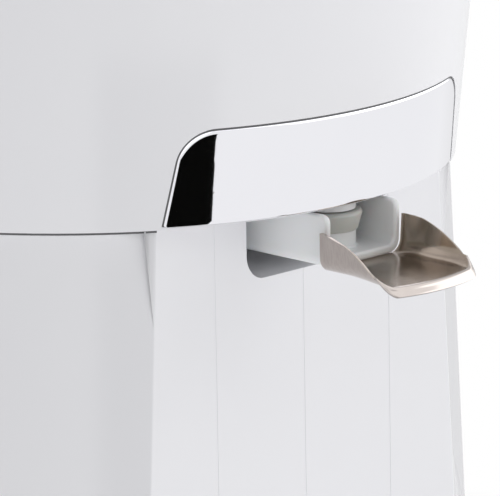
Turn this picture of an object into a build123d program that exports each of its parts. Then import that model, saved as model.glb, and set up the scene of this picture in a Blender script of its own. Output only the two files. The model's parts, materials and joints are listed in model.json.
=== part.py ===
from build123d import *
import os
from math import atan2, cos, degrees, pi, radians, sin, sqrt

# Electric citrus juicer with a drip-stop spout.
# +Z is up and z = 0 is the table. The front, with the spout, looks along -Y.
# All pieces are drawn around the drive axis, then moved back by axis_y so that the
# origin is the bottom centre of the whole object. Lengths are in millimetres.

# ---- Driving dimensions -------------------------------------------------------
# Fits and clearances
run_fit = 0.05          # radial clearance of a running shaft
slide_gap = 0.3         # between sliding or turning neighbours
seam_gap = 0.4          # reveal line between the two housings
trim_gap = 0.25         # around the chrome band
lift_gap = 0.6          # around pieces that are lifted out by hand

# Feet and base plate
foot_h = 5.5
foot_r = 9.0
foot_sink = 1.0
foot_chamfer = 1.0
foot_x, foot_y = 60.0, 58.0
housing_lift = 2.5      # housing edge above the table
base_plate_t = 2.5
vent_length = 30.0
vent_w = 3.0
vent_pitch = 12.0
vent_rows = 9
vent_back = 43.6        # drive axis to the middle of the vents

# Lower housing, measured at the seam and downwards
seam_z = 150.0
waist_step = 1.4        # lower housing's skin inside the upper one's at the seam
lower_flare = 0.0597    # radius gained per millimetre downwards
panel_inset = 17.1      # front panel inside the waist's skin
panel_flare = 0.0333
panel_corner_r = 5.0
lower_wall = 2.5
spigot_h = 4.0
spigot_wall = 1.6
groove_pitch = 30.6
groove_w = 0.6
groove_depth = 0.6
groove_end = 6.0        # groove stops this far above the housing edge

# Slot and well for the spout arm
slot_half_w = 19.4
slot_depth = 17.8
slot_corner_r = 6.0
well_wall = 2.0
well_room = 7.0         # pivot to the well's inner back face

# Upper housing
waist_r = 98.0
rim_r = 104.0
flare_bulge = 0.17
upper_h = 80.0
upper_wall = 3.0
shelf_t = 2.3
deck_room = 3.5         # gearbox lid to the deck
deck_t = 3.0
tower_r = 14.5
tower_h = 38.0          # tower top above the deck's lower face
tunnel_wall = 2.0

# Chrome band
band_t = 1.0
band_low = 0.55         # above the seam
band_high = 23.5
band_half_bottom = 51.0
band_taper = 1.6        # each side leans in this much at the top
band_corner_r = 9.0
band_round = 0.45

# Spout arm, valve and tip
arm_half_w = 13.2
arm_wall = 2.0
arm_floor_t = 2.0
arm_height = 12.6
arm_nose = 11.95        # nozzle axis to the arm's front end
arm_corner_r = 3.0
arm_edge_r = 3.2        # lower long edges of the channel
pivot_back = 31.8       # nozzle axis to spout pivot
pivot_drop = 8.0        # pivot below the seam
pivot_r = 2.0
nozzle_inset = 9.2      # nozzle axis inside the waist's skin
nozzle_r = 6.9
nozzle_bore_r = 5.4
post_r = 7.0
cap_h = 4.75
cap_top_r = 8.4
cap_low_r = 7.5
cap_core_r = 5.5
cap_lid_t = 1.4
cap_edge = 0.6          # bevel round the cap's top
cap_drop = 1.95         # top of valve cap below the seam
tip_wall = 0.6
tip_side_gap = 0.5
tip_overlap = 1.05
tip_corner_r = 3.5
tip_rise = 9.4          # height of the tip's side walls above its floor
tip_flat = 3.3          # level part of the side walls
tip_length = 24.8
tip_bow_r = 36.0        # plan radius of the pouring edge
tip_lip_h = 3.4
tip_lip_corner_r = 5.0
tongue_half_w = 8.0
tongue_length = 9.0

# Drive
module = 1.0
out_teeth = 60
idler_teeth = 56
pinion_teeth = 12
idler_angle = 140.0
motor_angle = 90.0
tooth_backlash = 0.3
tooth_tip_h = 0.9       # tooth above and below its pitch circle, in modules
tooth_root_h = 1.25
tooth_lean_tip = 0.297  # how much a flank narrows the tooth at its tip
tooth_lean_root = 0.25  # and widens it at its root
gear_face = 9.0
idler_face = 6.0
idler_lift = 5.0        # case plate to the large idler gear
gear_step = 8.0         # large idler gear to the output gear
web_rim = 4.0           # solid rim under the output gear's teeth
web_t = 6.0
hub_r = 9.0
hub_gap = 1.0           # output gear's hub above the idler gear
idler_pin_r = 2.5
idler_hub_wall = 2.0
idler_seat_h = 0.5      # raised seat round the idler pin
journal_r = 3.4
shaft_r = 4.5
flat_half = 3.4
hex_af = 7.6
hex_step = 2.0          # tower top to the hexagon
hex_rise = 26.0         # tower top to the shaft's end
shaft_chamfer = 0.8
press_travel = 3.0
bush_wall = 2.0
bush_h = 9.0
seal_h = 2.5
clip_r = 7.0
clip_t = 1.0
clip_bite = 0.6         # depth of the clip's groove in the shaft
clip_mouth = 4.0

# Gearbox case
case_drop = 6.0         # case floor below the seam
case_h = 36.0
case_plate_t = 3.0
case_wall = 2.5
case_gap = 1.5          # gear tips to the case's inner wall
boss_wall = 1.1         # around the lower bush
lid_t = 2.5
lid_hole_gap = 0.5      # around the shaft clip
lug_r = 5.0
lug_t = 5.0
guide_r = 9.3
guide_wall = 2.2
guide_drop = 26.0
cup_h = 15.0
cup_drop = 16.0         # cup below the case floor
cup_floor_t = 5.0
spring_pocket = 3.0
spring_wire = 1.2
spring_r = 6.0
spring_turns = 4.0
seat_t = 3.0

# Motor
stack_side = 60.0
stack_h = 26.0
stack_bore_r = 16.4
air_gap = 0.4
rotor_over = 1.0        # rotor beyond each end of the stack
winding_in_r = 18.0
winding_out_r = 26.5
winding_h = 7.0
winding_round = 2.5
bracket_t = 3.0
bracket_gap = 10.0      # bracket plate to the stack
mount_h = 13.0
post_rad = 4.0
corner_inset = 5.0
pad_edge = 1.0
motor_shaft_r = 3.0
motor_shaft_tail = 30.0     # shaft below the stack
pinion_rise = 9.0       # pinion top above the large idler gear's lower face
pinion_face = 11.0
bearing_r = 6.0
bearing_h = 8.0
bearing_nose = 3.0      # bearing beyond its bracket
bearing_wall = 2.0
fan_r = 24.0
fan_h = 9.0
fan_lift = 3.0          # fan above the shaft's lower end
fan_blades = 9
blade_t = 1.5

# Screws
screw_r = 1.6
screw_head_r = 3.1
screw_head_h = 2.2
recess_w = 0.8
boss_r = 4.2
boss_inset = 12.0       # screw bosses inside the waist's skin
boss_angle = 35.0       # and their bearing from the X axis
boss_h = 24.0
tab_t = 3.0
tab_drop = 6.0
motor_screw_r = 1.5

# Switch, terminal block and cord inlet
switch_w = 20.0
switch_d = 18.0
switch_h = 14.0
switch_front = 26.0     # drive axis to the switch's near face
switch_screw_r = 0.8
switch_screw_head_r = 1.6
switch_screw_head_h = 1.4
switch_screw_inset = 3.2
blade_pitch = 6.0       # switch terminals
blade_w = 3.0
blade_length = 5.0
terminal_blade_t = 0.8
plunger_r = 1.6
plunger_h = 3.6
plunger_share = 0.5     # plunger travel for each unit of shaft travel
finger_w = 5.0
finger_t = 2.4
finger_lift = 2.0       # finger above the cup's lower end
terminal_w, terminal_d, terminal_h = 30.0, 16.0, 12.0
terminal_x, terminal_y = 42.0, 52.0
terminal_hole_r = 2.0
terminal_hole_h = 3.0
cord_bore_r = 3.75
cord_bush_wall = 1.5
cord_bush_r = 7.5
cord_bush_flange = 2.5
cord_z = 24.0

# Bowl, strainer, cone and cover
bowl_gap = 2.0          # bowl to the housing's inner wall, at the bowl's floor
bowl_top_gap = 3.0      # and under its flange
bowl_wall = 2.2
bowl_rise = 5.0         # deck to the bowl's floor
bowl_tube_gap = 1.0
bowl_tube_wall = 2.0
bowl_tube_over = 4.0    # bowl's tube above the tower
flange_t = 3.0
flange_over = 0.4       # flange beyond the housing's rim
flange_round = 1.0
strainer_over = 2.0     # strainer's rim beyond the bowl's mouth
strainer_wall = 2.0
strainer_gap = 2.8      # strainer inside the bowl's mouth
strainer_lean = 11.0
strainer_lift = 22.0    # bowl's floor to the strainer's floor
collar_gap = 3.0        # collar outside the bowl's tube
collar_over = 2.0       # collar above the bowl's tube
slot_margin = 4.0       # slots end this far from the strainer's walls
slot_row_gap = 3.0
outer_slots = 36
inner_slots = 18
outer_slot_w = 1.6
inner_slot_w = 2.0
cone_ring_t = 2.5
cone_ring_w = 5.5
cone_drop = 9.3         # cone's skirt below its ring
cone_skirt_w = 11.0
cone_skirt_t = 2.5
cone_r = 31.0
cone_h = 60.0
cone_wall = 3.0
ogive_tip = 0.12        # shares of the cone's base radius and height
ogive_bulge = 0.80
ogive_height = 0.55
rib_count = 10
rib_rise = 4.5
rib_t = 2.6
socket_r = 7.2
socket_h = 18.0
cover_wall = 2.2
cover_side_h = 38.0
cover_shoulder_r = 34.0
cover_h = 93.0
cover_gap = 0.3

# ---- Derived dimensions -------------------------------------------------------
lower_r = waist_r - waist_step
lower_h = seam_z - housing_lift
base_r = lower_r + lower_flare * lower_h
upper_top = seam_z + upper_h
seam_low = seam_z - seam_gap / 2
seam_high = seam_z + seam_gap / 2
base_z = foot_h - foot_sink
base_top = base_z + base_plate_t
panel_tilt = degrees(atan2(panel_flare, 1.0))

panel_d = waist_r - panel_inset
boss_d = waist_r - boss_inset
boss_x, boss_y = boss_d * cos(radians(boss_angle)), boss_d * sin(radians(boss_angle))
band_half_top = band_half_bottom - band_taper

nozzle_d = waist_r - nozzle_inset
pivot_d = nozzle_d - pivot_back
well_back = pivot_d - well_room
tunnel_r = nozzle_r + lift_gap
arm_reach = nozzle_d + arm_nose
arm_top = seam_z - seam_gap / 2
arm_low = arm_top - arm_height
pivot_z = seam_z - pivot_drop
hub_reach = slot_half_w - well_wall
cap_top = seam_z - cap_drop
cap_low = cap_top - cap_h
nozzle_low = cap_top + slide_gap
tip_out = arm_half_w + tip_side_gap + tip_wall
tip_floor = arm_low - tip_wall
tip_back = arm_reach - tip_overlap
tip_reach = tip_back + tip_length

case_z = seam_z - case_drop
case_top = case_z + case_plate_t
lid_z = case_z + case_h
deck_z = lid_z + lid_t + deck_room
tower_top = deck_z + tower_h
idler_bottom = case_top + idler_lift
gear_bottom = idler_bottom + idler_face + gear_step
hub_low = idler_bottom + idler_face + hub_gap
hub_top = lid_z - slide_gap
bush_boss_top = hub_low - slide_gap
bush_out = journal_r + run_fit + bush_wall
upper_bush_out = shaft_r + run_fit + bush_wall
idler_dist = module * (out_teeth + pinion_teeth) / 2
motor_arm = module * (idler_teeth + pinion_teeth) / 2
idler_x = idler_dist * cos(radians(idler_angle))
idler_y = idler_dist * sin(radians(idler_angle))
swing = radians(idler_angle - motor_angle)
motor_dist = idler_dist * cos(swing) + sqrt(motor_arm**2 - (idler_dist * sin(swing))**2)
motor_x = motor_dist * cos(radians(motor_angle))
motor_y = motor_dist * sin(radians(motor_angle))
mesh_angle = degrees(atan2(motor_y - idler_y, motor_x - idler_x))
half_pitch_angle = 180 / pinion_teeth
pinion_top = idler_bottom + pinion_rise

flat_low = bush_boss_top + press_travel + slide_gap
flat_high = lid_z + press_travel
shaft_top = tower_top + hex_rise
clip_top = deck_z - slide_gap
cup_z = case_z - cup_drop
cup_top = cup_z + cup_h
cup_floor = cup_z + cup_floor_t
guide_low = case_z - guide_drop
finger_z = cup_z + finger_lift
plunger_top = finger_z - press_travel * (1 - plunger_share) - slide_gap
switch_top = plunger_top - plunger_h
switch_low = switch_top - switch_h
bracket_y = switch_front + switch_d
plunger_y = bracket_y - switch_d / 2

stack_top = case_z - mount_h - bracket_t - bracket_gap
stack_bottom = stack_top - stack_h
mount_low = case_z - mount_h
motor_shaft_low = stack_bottom - motor_shaft_tail
fan_z = motor_shaft_low + fan_lift

flange_z = upper_top
flange_top = flange_z + flange_t
rim_flange_r = rim_r + flange_over
bowl_floor_z = deck_z + deck_t + bowl_rise
bowl_tube_r = tower_r + bowl_tube_gap
bowl_tube_out = bowl_tube_r + bowl_tube_wall
bowl_tube_top = tower_top + bowl_tube_over
bowl_top_r = rim_r - upper_wall - bowl_top_gap
strainer_r = bowl_top_r + strainer_over
strainer_mouth_r = bowl_top_r - bowl_wall - strainer_gap
strainer_foot_r = strainer_mouth_r - strainer_lean
strainer_floor_z = bowl_floor_z + strainer_lift
collar_in = bowl_tube_out + collar_gap
collar_r = collar_in + strainer_wall
collar_top = bowl_tube_top + collar_over
ring_z = collar_top + press_travel + slide_gap
ring_top = ring_z + cone_ring_t
socket_low = ring_top + slide_gap
cone_bottom = ring_z - cone_drop
cone_skirt_r = cone_r + cone_skirt_w
cone_tip = cone_bottom + cone_h
cover_z = flange_top
cover_top = cover_z + cover_h
cord_reach = lower_r + lower_flare * (seam_z - cord_z) + cord_bush_flange
back_reach = max(base_r, cord_reach, rim_flange_r)
axis_y = (tip_reach - back_reach) / 2


# ---- Small helpers ------------------------------------------------------------
def disc(radius, low, high, x=0.0, y=0.0):
    return Pos(x, y, low) * Cylinder(radius, high - low, align=(Align.CENTER, Align.CENTER, Align.MIN))


def tube(outer, inner, low, high, x=0.0, y=0.0):
    return disc(outer, low, high, x, y) - disc(inner, low - 1, high + 1, x, y)


def block(x0, x1, y0, y1, z0, z1):
    return Pos((x0 + x1) / 2, (y0 + y1) / 2, (z0 + z1) / 2) * Box(x1 - x0, y1 - y0, z1 - z0)


def turned(points):
    """Solid of revolution about Z from a closed list of (radius, height) points."""
    return revolve(make_face(Plane.XZ * Polyline(*points, close=True)), Axis.Z)


def prism(sketch, low, high):
    return extrude(Plane.XY.offset(low) * sketch, high - low)


def corners(x, y):
    return [(i * x, j * y) for i in (-1, 1) for j in (-1, 1)]


def screw(x, y, head_z, tip_z, radius=screw_r):
    """Pan-head screw with its head's inner face at head_z, driven towards tip_z."""
    way = 1 if tip_z > head_z else -1
    low, high = sorted((head_z, tip_z))
    head_low, head_high = sorted((head_z, head_z - way * screw_head_h))
    body = disc(radius, low, high, x, y) + disc(screw_head_r, head_low, head_high, x, y)
    recess_z = head_low if way > 0 else head_high - screw_head_h / 2
    bar = Box(screw_head_r, recess_w, screw_head_h / 2, align=(Align.CENTER, Align.CENTER, Align.MIN))
    for turn in (0, 90):
        body -= Pos(x, y, recess_z) * Rot(0, 0, turn) * bar
    return body


def gear(teeth, low, high, x, y, tooth_at):
    """Straight-flanked spur gear with one tooth centred at the angle tooth_at."""
    pitch_r = module * teeth / 2
    tip_r, root_r = pitch_r + tooth_tip_h * module, pitch_r - tooth_root_h * module
    half_pitch = (pi * module - tooth_backlash) / 4 / pitch_r
    half_tip = half_pitch * pitch_r / tip_r - module * tooth_lean_tip / tip_r
    half_root = half_pitch * pitch_r / root_r + module * tooth_lean_root / root_r
    flank = [(root_r, -half_root), (pitch_r, -half_pitch), (tip_r, -half_tip)]
    flank += [(r, -a) for r, a in reversed(flank)]
    points = []
    for tooth in range(teeth):
        middle = radians(tooth_at) + 2 * pi * tooth / teeth
        points += [(x + r * cos(middle + a), y + r * sin(middle + a)) for r, a in flank]
    return prism(make_face(Polyline(*points, close=True)), low, high)


# ---- Housing outlines ---------------------------------------------------------
def upper_radius(z, inset=0.0):
    share = (z - seam_z) / upper_h
    return waist_r + (rim_r - waist_r) * share + 4 * flare_bulge * share * (1 - share) - inset


def upper_solid(low, high, inset=0.0):
    """Flared body of the upper housing between two heights, inset from its skin."""
    middle = (low + high) / 2
    side = ThreePointArc(*[(upper_radius(z, inset), z) for z in (low, middle, high)])
    rest = Polyline((upper_radius(high, inset), high), (0, high), (0, low), (upper_radius(low, inset), low))
    return revolve(make_face(Plane.XZ * (side + rest)), Axis.Z)


def panel_plane(inset=0.0):
    """Plane of the front panel: X across, Y up the panel, Z outwards."""
    tilt = radians(panel_tilt)
    return Plane((0, -panel_d + inset, seam_z), x_dir=(1, 0, 0), z_dir=(0, -cos(tilt), sin(tilt)))


def lower_radius(z, inset=0.0):
    return lower_r + lower_flare * (seam_z - z) - inset


def lower_solid(low, high, inset=0.0, corner=0.0):
    """Flared body of the lower housing with its flat front, inset from its skin."""
    body = turned([(0, low), (lower_radius(low, inset), low), (lower_radius(high, inset), high), (0, high)])
    front = panel_plane(inset) * Box(4 * lower_r, 4 * seam_z, 2 * lower_r,
                                     align=(Align.CENTER, Align.CENTER, Align.MIN))
    body = body - front
    if corner:
        upright = [e for e in body.edges() if e.center().Y < -panel_d / 2 and e.length > (high - low) * 0.9]
        body = fillet(upright, corner)
    return body


def band_outline(grow=0.0, low=band_low):
    """Front view of the chrome band: a low trapezium with two rounded upper corners."""
    half_low, half_top = band_half_bottom + grow, band_half_top + grow
    low, high = seam_z + low, seam_z + band_high + grow
    face = Polygon((-half_low, low), (half_low, low), (half_top, high), (-half_top, high), align=None)
    upper = [v for v in face.vertices() if v.Y > (low + high) / 2]
    return fillet(upper, band_corner_r + grow)


def band_solid(outline, skin, depth):
    """Layer of the upper housing's skin, between two depths, inside an outline."""
    low, high = seam_z, seam_z + band_high + band_corner_r
    layer = upper_solid(low, high, skin) - upper_solid(low - 1, high + 1, depth)
    cutter = extrude(Plane.XZ * outline, 2 * waist_r)
    return layer & cutter


def slot_outline(grow=0.0, top=0.0):
    """Front view of the spout slot: open at the top, with rounded lower corners."""
    half, low = slot_half_w + grow, seam_z - slot_depth - grow
    face = Polygon((-half, low), (half, low), (half, seam_z + top), (-half, seam_z + top), align=None)
    lower = [v for v in face.vertices() if v.Y < seam_z - slot_depth / 2]
    return fillet(lower, slot_corner_r + grow)


def across(radius, length):
    """Cylinder along X through the spout's pivot."""
    return Pos(0, -pivot_d, pivot_z) * Rot(0, 90, 0) * Cylinder(radius, length)


def along_y(sketch, y_front, y_back):
    """Front-view sketch extruded from y_front back to y_back."""
    return extrude(Plane.XZ.offset(-y_back) * sketch, y_back - y_front)


# ---- Housings -----------------------------------------------------------------
def build_lower_housing():
    shell = lower_solid(housing_lift, seam_low, 0, panel_corner_r)
    room = lower_solid(housing_lift - 1, seam_low + 1, lower_wall)
    well_top = seam_low - seam_gap
    well_box = along_y(slot_outline(well_wall, -seam_gap), -panel_d, -well_back + well_wall)
    hollow = along_y(slot_outline(0, seam_gap), -base_r, -well_back)
    shell = shell - room + (well_box & lower_solid(housing_lift, well_top, lower_wall / 5)) - hollow
    for side in (-1, 0, 1):
        length = (seam_z - housing_lift) - groove_end
        groove = Box(groove_w, length, 2 * groove_depth, align=(Align.CENTER, Align.MAX, Align.CENTER))
        shell -= panel_plane() * Pos(side * groove_pitch, 0, 0) * groove
    spigot_r = upper_radius(seam_z, upper_wall) - slide_gap
    spigot = tube(spigot_r, spigot_r - spigot_wall, seam_low - 2 * spigot_h, seam_z + spigot_h)
    ledge = tube(lower_radius(seam_z) - 1, spigot_r - spigot_wall, seam_low - 2 * spigot_h, seam_low)
    shell += (spigot + ledge) - block(-base_r, base_r, -base_r, -boss_y - 2 * boss_r, 0, upper_top)
    for x, y in corners(boss_x, boss_y):
        shell += wall_boss(x, y, base_top, base_top + boss_h)
        shell += wall_boss(x, y, seam_low - tab_drop - tab_t, seam_low - tab_drop)
        shell -= disc(screw_r, base_top - 1, base_top + boss_h - 2, x, y)
        shell -= disc(screw_r + slide_gap, seam_low - tab_drop - tab_t - 1, seam_low, x, y)
    shell -= across(pivot_r, 4 * slot_half_w)
    cord_hole = Rot(90, 0, 0) * Cylinder(cord_bore_r + cord_bush_wall, base_r / 2)
    return shell - Pos(0, base_r, cord_z) * cord_hole


def wall_boss(x, y, low, high):
    """Round screw boss joined to the lower housing's wall by a radial rib."""
    angle = degrees(atan2(y, x))
    reach = lower_radius(high, lower_wall / 2)
    start = sqrt(x**2 + y**2)
    rib = Box(reach - start, lower_wall, high - low, align=(Align.MIN, Align.CENTER, Align.MIN))
    return disc(boss_r, low, high, x, y) + Rot(0, 0, angle) * Pos(start, 0, low) * rib


def build_upper_housing():
    shell = upper_solid(seam_high, upper_top) - upper_solid(seam_high - 1, upper_top + 1, upper_wall)
    deck = upper_solid(deck_z, deck_z + deck_t, upper_wall / 2)
    shelf = upper_solid(seam_high, seam_high + shelf_t, upper_wall / 2)
    shelf_back = panel_d - lower_wall - spigot_wall
    shelf = shelf & block(-base_r, base_r, -base_r, -shelf_back + 2 * tunnel_r, 0, upper_top)
    shell += deck + shelf
    tunnel = disc(tunnel_r + tunnel_wall, seam_high, deck_z + 1, 0, -nozzle_d)
    shell += tunnel & upper_solid(seam_high, upper_top, upper_wall / 2)
    shell -= disc(tunnel_r, seam_high - 1, deck_z + deck_t + 1, 0, -nozzle_d)
    shell += disc(tower_r, deck_z, tower_top)
    shell -= disc(shaft_r + slide_gap, deck_z - 1, tower_top + 1)
    shell -= disc(upper_bush_out, tower_top - seal_h - bush_h, tower_top + 1)
    bosses = [disc(lug_r, lid_z + lid_t, deck_z + 1, x, y) for x, y in lug_places()]
    for x, y in corners(boss_x, boss_y):
        bosses.append(disc(boss_r, seam_low - tab_drop, deck_z + 1, x, y))
    shell += bosses
    for x, y in lug_places():
        shell -= disc(screw_r, lid_z, deck_z, x, y)
    for x, y in corners(boss_x, boss_y):
        shell -= disc(screw_r, seam_low - tab_drop - 1, seam_z + boss_h, x, y)
    recess = band_solid(band_outline(trim_gap, -seam_gap), -1, band_t + run_fit)
    return shell - recess


def build_chrome_band():
    band = band_solid(band_outline(), 0, band_t)
    skin = [f for f in band.faces() if f.area > band_high * band_half_top]
    outer = max(skin, key=lambda f: -f.center().Y)
    return fillet(outer.edges(), band_round)


def build_base_plate():
    plate = lower_solid(base_z, base_top, lower_wall + slide_gap)
    for x, y in corners(foot_x, foot_y):
        plate -= disc(foot_r + run_fit, base_z - 1, base_z + foot_sink, x, y)
    for x, y in corners(boss_x, boss_y):
        plate -= disc(screw_r + slide_gap, base_z - 1, base_top + 1, x, y)
    vent = SlotOverall(vent_length, vent_w, rotation=90)
    for row in range(vent_rows):
        x = (row - (vent_rows - 1) / 2) * vent_pitch
        plate -= prism(Pos(x, vent_back) * vent, base_z - 1, base_top + 1)
    return plate


def build_rubber_feet():
    feet = []
    for x, y in corners(foot_x, foot_y):
        foot = disc(foot_r, 0, base_z + foot_sink, x, y)
        feet.append(chamfer(foot.edges().group_by(Axis.Z)[0], foot_chamfer))
    return Compound(children=feet)


def build_base_screws():
    tip = base_top + boss_h / 2
    return Compound(children=[screw(x, y, base_z, tip) for x, y in corners(boss_x, boss_y)])


def build_housing_screws():
    head = seam_low - tab_drop - tab_t
    return Compound(children=[screw(x, y, head, seam_z + boss_h / 2) for x, y in corners(boss_x, boss_y)])


def build_cord_bush():
    """Flanged rubber bush that snaps into the rear wall, shaped to the wall's curve."""
    reach, inner = lower_radius(cord_z), lower_radius(cord_z, lower_wall)
    neck = cord_bore_r + cord_bush_wall
    span = reach - inner + 2 * cord_bush_flange
    flanges = Pos(0, (reach + inner) / 2, cord_z) * Rot(90, 0, 0) * Cylinder(cord_bush_r, span)
    wall = lower_solid(housing_lift, seam_low, -run_fit) - lower_solid(0, seam_z, lower_wall + run_fit)
    bush = flanges - wall
    bush += Pos(0, (reach + inner) / 2, cord_z) * Rot(90, 0, 0) * Cylinder(neck, span)
    return bush - Pos(0, reach, cord_z) * Rot(90, 0, 0) * Cylinder(cord_bore_r, 4 * span)


# ---- Gearbox ------------------------------------------------------------------
def case_outline(inset=0.0):
    """Rounded outline around the three gear centres."""
    edge = case_gap + case_wall + module - inset
    circles = [(0, 0, out_teeth), (idler_x, idler_y, idler_teeth), (motor_x, motor_y, pinion_teeth)]
    rings = [Pos(x, y) * Circle(module * teeth / 2 + edge) for x, y, teeth in circles]
    return make_hull([e for ring in rings for e in ring.edges()])


def lug_places():
    """Centres of the four screw lugs around the gearbox case."""
    edge = case_gap + case_wall + module + screw_head_r + slide_gap
    spots = [(0, 0, out_teeth, -20), (0, 0, out_teeth, -100), (idler_x, idler_y, idler_teeth, 170),
             (motor_x, motor_y, pinion_teeth, 60)]
    reach = [(x, y, module * teeth / 2 + edge, radians(angle)) for x, y, teeth, angle in spots]
    return [(x + r * cos(a), y + r * sin(a)) for x, y, r, a in reach]


def motor_corners():
    half = stack_side / 2 - corner_inset
    return [(motor_x + x, motor_y + y) for x, y in corners(half, half)]


def build_gearbox_case():
    motor_pad = Pos(motor_x, motor_y) * Rectangle(stack_side + 2 * pad_edge, stack_side + 2 * pad_edge)
    case = prism(case_outline(), case_z, lid_z) + prism(motor_pad, case_z, case_top)
    for x, y in lug_places():
        case += disc(lug_r, lid_z - lug_t, lid_z, x, y)
    half_w = switch_w / 2 + pad_edge
    case += block(-half_w, half_w, -bracket_y - bracket_t, -guide_r, case_z, case_top)
    case -= prism(case_outline(case_wall), case_top, lid_z + 1)
    case += block(-half_w, half_w, -bracket_y - bracket_t, -bracket_y, switch_low, case_top)
    case += disc(bush_out + boss_wall, case_z, bush_boss_top)
    case += tube(guide_r + guide_wall, guide_r, guide_low, case_z)
    case -= disc(bush_out, case_z - 1, bush_boss_top + 1)
    idler_seat = case_top + idler_seat_h
    case += tube(idler_pin_r + idler_hub_wall, idler_pin_r, case_z, idler_seat, idler_x, idler_y)
    case -= disc(idler_pin_r, case_z - 1, case_top + 1, idler_x, idler_y)
    case -= disc(module * pinion_teeth / 2 + module + slide_gap, case_z - 1, case_top + 1, motor_x, motor_y)
    slot_half = finger_w / 2 + slide_gap
    slot_low = finger_z - press_travel - slide_gap
    finger_slot = block(-slot_half, slot_half, -2 * guide_r, 0, slot_low, case_z)
    case -= finger_slot & disc(2 * guide_r, slot_low, case_z)
    for x, y in lug_places():
        case -= disc(screw_r, lid_z - lug_t - 1, lid_z + 1, x, y)
    for x, y in motor_corners():
        case -= disc(motor_screw_r, case_z - 1, case_top + 1, x, y)
    for x, z in switch_screw_places():
        case -= Pos(x, -bracket_y, z) * Rot(90, 0, 0) * Cylinder(switch_screw_r, 3 * bracket_t)
    return case


def switch_screw_places():
    offset = switch_w / 2 - switch_screw_inset
    return [(side * offset, (switch_top + switch_low) / 2) for side in (-1, 1)]


def build_gearbox_lid():
    outline = case_outline()
    for x, y in lug_places():
        outline += Pos(x, y) * Circle(lug_r)
        outline -= Pos(x, y) * Circle(screw_r)
    outline -= Circle(clip_r + lid_hole_gap)
    outline -= Pos(idler_x, idler_y) * Circle(idler_pin_r)
    return prism(outline, lid_z, lid_z + lid_t)


def build_gearbox_screws():
    head = lid_z - lug_t
    return Compound(children=[screw(x, y, head, deck_z) for x, y in lug_places()])


def build_idler_pin():
    return disc(idler_pin_r, case_z, lid_z + lid_t, idler_x, idler_y)


def build_lower_bush():
    return tube(bush_out, journal_r + run_fit, case_z, bush_boss_top)


def build_upper_bush():
    return tube(upper_bush_out, shaft_r + run_fit, tower_top - seal_h - bush_h, tower_top - seal_h)


def build_shaft_seal():
    return tube(upper_bush_out, shaft_r + slide_gap, tower_top - seal_h, tower_top)


def build_output_gear():
    wheel = gear(out_teeth, gear_bottom, gear_bottom + gear_face, 0, 0, idler_angle)
    top = gear_bottom + gear_face
    web = tube(module * out_teeth / 2 - web_rim, hub_r + hub_gap, gear_bottom + web_t, top)
    wheel = wheel - web + disc(hub_r, hub_low, hub_top)
    bore = disc(shaft_r + run_fit, hub_low - 1, hub_top + 1)
    half = flat_half + run_fit
    return wheel - (bore & block(-half, half, -shaft_r * 2, shaft_r * 2, hub_low - 1, hub_top + 1))


def build_idler_gear():
    small_at = idler_angle + 180 + half_pitch_angle
    wheel = gear(idler_teeth, idler_bottom, idler_bottom + idler_face, idler_x, idler_y, mesh_angle)
    wheel += gear(pinion_teeth, idler_bottom, hub_top, idler_x, idler_y, small_at)
    hub_z = case_top + idler_seat_h + slide_gap
    wheel += disc(idler_pin_r + idler_hub_wall, hub_z, idler_bottom + idler_face, idler_x, idler_y)
    return wheel - disc(idler_pin_r + run_fit, case_z, lid_z, idler_x, idler_y)


def build_motor_pinion():
    low = pinion_top - pinion_face
    wheel = gear(pinion_teeth, low, pinion_top, motor_x, motor_y, mesh_angle + 180 + half_pitch_angle)
    return wheel - disc(motor_shaft_r, low - 1, pinion_top + 1, motor_x, motor_y)


# ---- Shaft, thrust cup and switch ---------------------------------------------
def build_drive_shaft():
    shaft = disc(journal_r, cup_floor + run_fit, flat_low) + disc(shaft_r, flat_low, shaft_top)
    flats = block(-shaft_r, shaft_r, -shaft_r, shaft_r, flat_low, flat_high)
    flats -= block(-flat_half, flat_half, -shaft_r, shaft_r, flat_low, flat_high)
    hex_low = tower_top + hex_step
    hexagon = prism(RegularPolygon(hex_af / 2, 6, major_radius=False), hex_low, shaft_top)
    shaft = shaft - flats - (disc(shaft_r + 1, hex_low, shaft_top + 1) - hexagon)
    shaft = chamfer(shaft.edges().group_by(Axis.Z)[-1], shaft_chamfer)
    return shaft - tube(shaft_r + 1, shaft_r - clip_bite, clip_top - clip_t, clip_top)


def build_shaft_clip():
    clip = tube(clip_r, shaft_r - clip_bite, clip_top - clip_t, clip_top)
    return clip - block(-clip_mouth / 2, clip_mouth / 2, 0, clip_r + 1, clip_top - 2 * clip_t, clip_top + 1)


def build_thrust_cup():
    cup = disc(guide_r - 2 * run_fit, cup_z, cup_top)
    cup -= disc(journal_r + slide_gap, cup_floor, cup_top + 1)
    cup -= disc(spring_r + spring_wire, cup_z - 1, cup_z + spring_pocket)
    tip = plunger_y + finger_w / 2
    return cup + block(-finger_w / 2, finger_w / 2, -tip, -guide_r + 1, finger_z, finger_z + finger_t)


def build_return_spring():
    low = guide_low + seat_t + slide_gap + spring_wire / 2
    high = cup_z + spring_pocket - slide_gap - spring_wire / 2
    path = Pos(0, 0, low) * Helix((high - low) / spring_turns, high - low, spring_r)
    return sweep(Plane(path @ 0, z_dir=path % 0) * Circle(spring_wire / 2), path=path)


def build_spring_seat():
    return disc(guide_r, guide_low, guide_low + seat_t)


def build_switch_body():
    half = switch_w / 2
    body = block(-half, half, -bracket_y, -switch_front, switch_low, switch_top)
    depth = (switch_top + switch_low) / 2
    body -= disc(plunger_r + run_fit, depth - press_travel, switch_top + 1, 0, -plunger_y)
    for x, z in switch_screw_places():
        body -= Pos(x, -bracket_y, z) * Rot(90, 0, 0) * Cylinder(switch_screw_r, 3 * switch_d)
    for side in (-1, 0, 1):
        body += Pos(side * blade_pitch, -plunger_y, switch_low - blade_length / 2) * Box(
            blade_w, terminal_blade_t, blade_length)
    return body


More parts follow.
